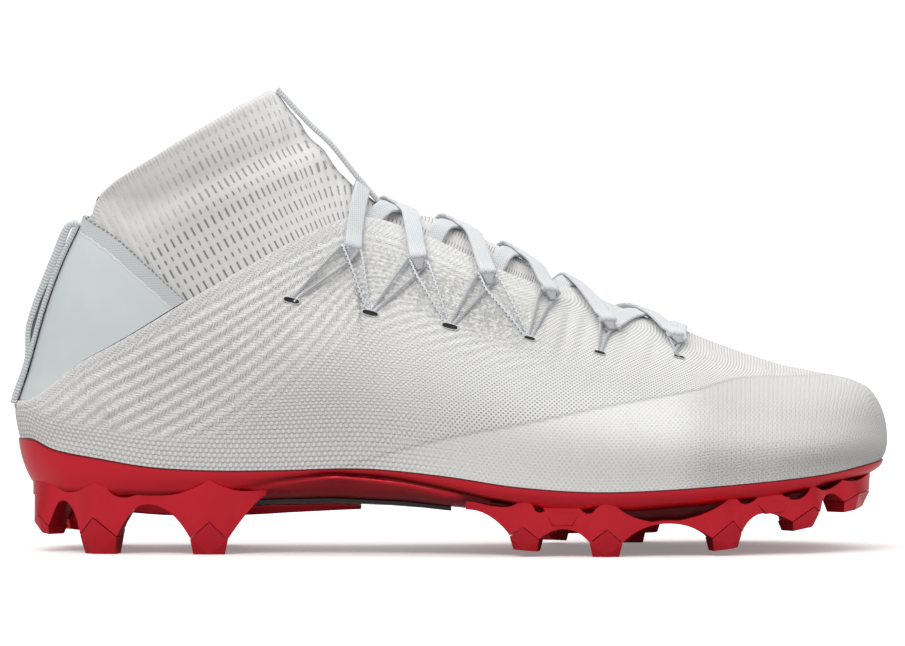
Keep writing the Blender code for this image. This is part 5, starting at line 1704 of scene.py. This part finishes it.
def make_slot(name, u, v, side, size):
    """A slot in the knit with a thin raised edge, its inside painted dark as shade."""
    centre, n = on_skin(u, v, side)
    slope = math.tan(SLOT_TILT)
    long = np.array([1.0, (slope * n[2] - n[0]) / n[1], -slope])
    long /= np.linalg.norm(long)
    short = np.cross(n, long)
    count = 24
    points = []
    for grow, lift in SLOT_RINGS:
        for a in np.linspace(0, math.tau, count + 1)[:-1]:
            i, j = rounded_square(a)
            i *= SLOT_SIZE[0] * size * grow
            j *= SLOT_SIZE[1] * size * (grow + (grow - 1) * 0.8)
            p = centre + long * i + short * j
            points.append(on_skin(p[0] / LENGTH, p[2] / INSTEP_HEIGHT, side, lift + 0.0001)[0])
    points.append(centre + n * 0.00022)
    faces = [face for k in range(3) for face in band(k * count, (k + 1) * count, count)]
    faces += [(3 * count + i, 3 * count + (i + 1) % count, len(points) - 1) for i in range(count)]
    dark = np.concatenate([np.zeros(2 * count), np.full(count, 0.3), np.ones(count + 1)])
    add_piece(name, points, faces, SLOT, 60, {"dark": dark}, ())


def slot_material():
    g = Graph("hole_edge", 0.7)
    grain = g.noise(0.0004, 2)
    rim = g.blend(grain, (0.55, 0.55, 0.54), (0.75, 0.75, 0.74))
    # painted shade: the slot's middle painted near black
    g.colour(g.blend(g.read("dark")[0].step(0.2, 0.6), rim, (0.010, 0.010, 0.012)))
    g.bump(grain, 0.0001, 0.5)
    return g.material


def cord_material(name, light, dark, period, dots):
    """A braided cord, or a thin tape with dark dots along it."""
    g = Graph(name, 0.6)
    long, wide = g.read("long", "wide")
    grain = g.noise(0.0003, 2)
    if dots:
        mark = long.sine(period).step(0.45, 0.85) * wide.sine(1.2, 0.6).step(0.1, 0.6)
        other = long.sine(period, 2.6).step(0.6, 0.9) * wide.sine(1.2, 3.4).step(0.3, 0.7) * 0.7
        mark = mark.most(other)
    else:
        mark = (long + wide * 0.5).sine(period).step(-0.2, 1.0) * 0.6
        mark = mark + wide.sine(2.4).step(0.5, 1.0) * 0.4
    g.colour(g.blend(mark * 0.9 + grain * 0.1, light, dark))
    g.bump(1 - mark, 0.00010, 0.8)
    return g.material


def webbing_material():
    g = Graph("webbing", 0.72, Sheen_Weight=0.2)
    long, wide = g.read("long", "wide")
    ribs = (long + wide.size().fold(1.5) * 0.55).wave(1.05)
    grain = g.noise(0.0004, 2)
    shade = (1 - ribs).power(1.4) * 0.34 + g.noise(0.004, 2) * 0.10
    g.colour(g.blend(shade, (0.80, 0.825, 0.85), (0.26, 0.29, 0.32)))
    g.roughness(0.7 + grain * 0.1)
    g.bump(ribs + grain * 0.2, 0.00018, 0.9)
    return g.material


# Middle of the tongue pull in the side view: station and share of INSTEP_HEIGHT
TONGUE_STRAP = (
    (0.3005, 1.319), (0.319, 1.268), (0.338, 1.218), (0.362, 1.161), (0.388, 1.08),
    (0.409, 1.019), (0.429, 0.96),
)


def side_path(x, y, z):
    """A path in the side view at one y, with its unit vectors across and up."""
    path = np.stack([x, np.full(len(x), y), z], axis=1)
    across = np.tile([0.0, 1.0, 0.0], (len(path), 1))
    return path, across, np.cross(across, headings(path))


def make_tongue_pull():
    flat = catmull(np.array(TONGUE_STRAP), 12) * (LENGTH, INSTEP_HEIGHT)
    y = middle_y(PULL_END * LENGTH, COLLAR_FRONT_HEIGHT)
    path, across, up = side_path(flat[:, 0], y, flat[:, 1])
    profile = flat_profile(TONGUE_PULL_WIDTH, TONGUE_PULL_WALL)
    strap("tongue_strap", path, -across, -up, profile, WEBBING, ("tongue_pull",))


# Heel pull in the side view, station and share of COLLAR_BACK_HEIGHT: the outer strap from
# its foot up, over the loop and down the inner strap, with each place's wall in millimetres
HEEL_STRAP = (
    (0.0067, 0.425, 2.2), (0.0067, 0.476, 2.2), (0.007, 0.521, 2.1), (0.0068, 0.565, 1.9),
    (0.0097, 0.61, 1.8), (0.0194, 0.676, 2.1), (0.0266, 0.729, 2.2), (0.0363, 0.787, 2.6),
    (0.0481, 0.858, 2.8), (0.0577, 0.92, 2.6), (0.064, 0.94, 2.0), (0.0705, 0.94, 1.7),
    (0.0722, 0.92, 1.6), (0.0695, 0.893, 1.6), (0.0625, 0.858, 1.7), (0.0494, 0.787, 1.7),
    (0.0379, 0.729, 1.6), (0.0282, 0.676, 1.6), (0.0181, 0.61, 1.5), (0.0133, 0.565, 1.4),
    (0.01, 0.52, 1.4), (0.009, 0.49, 1.3),
)


def make_heel_pull():
    curve = catmull(np.array(HEEL_STRAP), 9)
    x, z = curve[:, 0] * LENGTH, curve[:, 1] * COLLAR_BACK_HEIGHT
    # near its foot the outer strap lies on the heel
    snug = back_x(z) + 0.0005 - curve[:, 2] / MM / 2
    head = int(np.argmax(z))
    free = np.where(np.arange(len(x)) > head, 0.0, smooth(0.53, 0.68, curve[:, 1]))
    path, across, up = side_path(snug * (1 - free) + np.minimum(snug, x) * free, 0.0, z)
    profile = flat_profile(HEEL_PULL_WIDTH, HEEL_PULL_WALL, 14, 8)
    depths = curve[:, 2] / MM / HEEL_PULL_WALL
    replaced = ("heel_pull",)
    strap("heel_strap", path, across, up, profile, WEBBING, replaced, depths=depths)
    # painted shade: a dark sheet between the two straps, standing in for the shade in the gap
    # between them
    z = np.linspace(0.530 * COLLAR_BACK_HEIGHT, 0.885 * COLLAR_BACK_HEIGHT, 30)
    rising, falling = path[:head], path[head + 1 :][::-1]
    a = np.interp(z, rising[:, 2], rising[:, 0])
    b = np.interp(z, falling[:, 2], falling[:, 0])
    path, across, up = side_path((a + b) / 2, 0.0, z)
    profile = flat_profile(STRAP_GAP_SHADE_WIDTH, STRAP_GAP_SHADE_WALL)
    depths = np.abs(b - a) / STRAP_GAP_SHADE_WALL
    strap("heel_strap_gap_shade", path, across, up, profile, STRAP_GAP_SHADE, (), depths=depths)


def plain_fabric(name, light, dark):
    g = Graph(name, 0.9)
    weave = g.noise(0.0008, 2)
    cloud = g.noise(0.02, 2)
    g.colour(g.blend(weave * 0.6 + cloud * 0.4, light, dark))
    g.bump(weave, 0.0002, 0.8)
    return g.material


def shank_material():
    g = Graph("shank_black", 0.28, Coat_Weight=0.4, Coat_Roughness=0.15)
    weave = g.noise(0.0012, 2, (1, 3, 1))
    cloud = g.noise(0.012, 2)
    g.colour(g.blend(cloud, (0.010, 0.010, 0.011), (0.035, 0.033, 0.034)))
    g.roughness(0.22 + weave * 0.2)
    g.bump(weave, 0.00006, 0.6)
    return g.material


def make_floor():
    """A white floor. It lights the shoe from below less than it lights the picture."""
    mesh = bpy.data.meshes.new("floor")
    far = 40.0
    corners = [(-far, -far, 0), (far, -far, 0), (far, far, 0), (-far, far, 0)]
    mesh.from_pydata(corners, [], [(0, 1, 2, 3)])
    floor = bpy.data.objects.new("floor", mesh)
    bpy.context.scene.collection.objects.link(floor)
    g = Graph("floor_paper", 0.9)
    g.colour(g.blend(g.noise(0.25, 2), (0.98, 0.98, 0.98), (1.0, 1.0, 1.0)))
    g.shader.inputs["Emission Color"].default_value = (1, 1, 1, 1)
    reach = g.nodes.new("ShaderNodeVectorMath")
    reach.operation = "LENGTH"
    g.links.new(g.position(), reach.inputs[0])
    far = Value(g, reach.outputs["Value"]).step(0.4, 2.0)
    g.feed(g.shader.inputs["Emission Strength"], far * (FAR_GLOW - FLOOR_GLOW) + FLOOR_GLOW)
    g.shader.inputs["Specular IOR Level"].default_value = 0.0
    grey = g.nodes.new("ShaderNodeBsdfDiffuse")
    grey.inputs[0].default_value = (0.42, 0.415, 0.415, 1)
    seen = g.nodes.new("ShaderNodeLightPath")
    both = g.nodes.new("ShaderNodeMixShader")
    g.links.new(seen.outputs["Is Camera Ray"], both.inputs[0])
    g.links.new(grey.outputs[0], both.inputs[1])
    g.links.new(g.shader.outputs[0], both.inputs[2])
    g.links.new(both.outputs[0], g.nodes["Material Output"].inputs[0])
    mesh.materials.append(g.material)


def make_light(name, place, aim, size, power):
    data = bpy.data.lights.new(name, "AREA")
    data.shape = "RECTANGLE"
    data.size, data.size_y = size
    data.energy = power
    light = bpy.data.objects.new(name, data)
    bpy.context.scene.collection.objects.link(light)
    light.location = place
    light.rotation_mode = "QUATERNION"
    light.rotation_quaternion = (Vector(aim) - Vector(place)).to_track_quat("-Z", "Y")


def make_world():
    """White to the eye. As light it is bright overhead and dim near the ground."""
    world = bpy.data.worlds.new("studio")
    bpy.context.scene.world = world
    world.use_nodes = True
    nodes, links = world.node_tree.nodes, world.node_tree.links
    place = nodes.new("ShaderNodeTexCoord")
    split = nodes.new("ShaderNodeSeparateXYZ")
    links.new(place.outputs["Generated"], split.inputs[0])
    height = nodes.new("ShaderNodeMapRange")
    height.interpolation_type = "SMOOTHSTEP"
    links.new(split.outputs[2], height.inputs["Value"])
    ends = zip(("From Min", "From Max", "To Min", "To Max"), (-0.1, 0.9, *WORLD_LIGHT))
    for key, value in ends:
        height.inputs[key].default_value = value
    seen = nodes.new("ShaderNodeLightPath")
    strength = nodes.new("ShaderNodeMix")
    links.new(seen.outputs["Is Camera Ray"], strength.inputs[0])
    links.new(height.outputs["Result"], strength.inputs[2])
    strength.inputs[3].default_value = 1.0
    links.new(strength.outputs[0], nodes["Background"].inputs[1])
    nodes["Background"].inputs[0].default_value = (1, 1, 1, 1)


def make_studio():
    make_floor()
    make_world()
    for row in LIGHTS:
        make_light(*row)
    bpy.context.scene.view_settings.view_transform = "Standard"


# Camera: the photo's view of the lateral side. PHOTO_SCALE: metres to a pixel
PHOTO_WIDTH = 905
PHOTO_SCALE = LENGTH / 875
CAMERA_TARGET = (0.0007, -0.020, 0.0774)
SENSOR = 36
CAMERA_DISTANCE = 6.5
CAMERA_ELEVATION = math.radians(2.6)
# Lamps: name, place, aim, size and watts
LIGHTS = (
    ("key", (-0.55, -1.0, 1.35), (0, 0, 0.06), (1.1, 0.6), 11.0),
    ("side", (1.3, -0.9, 0.7), (0.05, 0, 0.05), (0.35, 0.9), 0.8),
    ("top", (0.1, 0.25, 1.4), (0, 0, 0.05), (1.3, 0.5), 4.5),
    ("back", (-0.4, 1.4, 0.7), (0, 0, 0.05), (1.0, 0.5), 3.0),
)
# World light near the ground and overhead, and the floor's own glow near the shoe and far off
WORLD_LIGHT = (0.22, 0.85)
FLOOR_GLOW = 0.22
FAR_GLOW = 0.32


def make_camera():
    back = Vector((0, -math.cos(CAMERA_ELEVATION), math.sin(CAMERA_ELEVATION)))
    data = bpy.data.cameras.new("camera")
    camera = bpy.data.objects.new("camera", data)
    bpy.context.scene.collection.objects.link(camera)
    camera.location = Vector(CAMERA_TARGET) + back * CAMERA_DISTANCE
    camera.rotation_mode = "QUATERNION"
    camera.rotation_quaternion = (-back).to_track_quat("-Z", "Y")
    data.sensor_width = SENSOR
    data.lens = SENSOR * CAMERA_DISTANCE / (PHOTO_WIDTH * PHOTO_SCALE)
    data.clip_start = 0.1
    data.clip_end = 100
    bpy.context.scene.camera = camera


make_camera()
make_studio()
RED_PLATE = red_plate("red_plate")
RED_TIP = red_plate("red_tips", 0.12)
LACE = lace_material("lace_weave", (0.96, 0.97, 0.985), (0.36, 0.38, 0.43))
# a darker copy of the lace material: painted shade on the inner faces of the folds
LACE_SHADE = lace_material("lace_inner_face_painted_shade", (0.62, 0.62, 0.66), (0.30, 0.30, 0.34))
CORD = cord_material("grey_cord", (0.74, 0.75, 0.77), (0.25, 0.26, 0.28), 0.7, False)
TAPE = cord_material("dotted_tape", (0.84, 0.86, 0.89), (0.08, 0.08, 0.09), 1.7, True)
# painted shade: the dark sheet in the heel strap's gap
STRAP_GAP_SHADE = plain_fabric("strap_gap_shade", (0.26, 0.29, 0.31), (0.16, 0.18, 0.20))
SLOT = slot_material()
WEBBING = webbing_material()
make_upper()
make_sock()
make_film()
make_plate()
make_laces()
make_cables()
make_tongue_pull()
make_heel_pull()
dress(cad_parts["insole"], plain_fabric("insole_cloth", (0.10, 0.10, 0.11), (0.04, 0.04, 0.045)))
dress(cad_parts["shank"], shank_material())
soften(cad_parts["shank"])
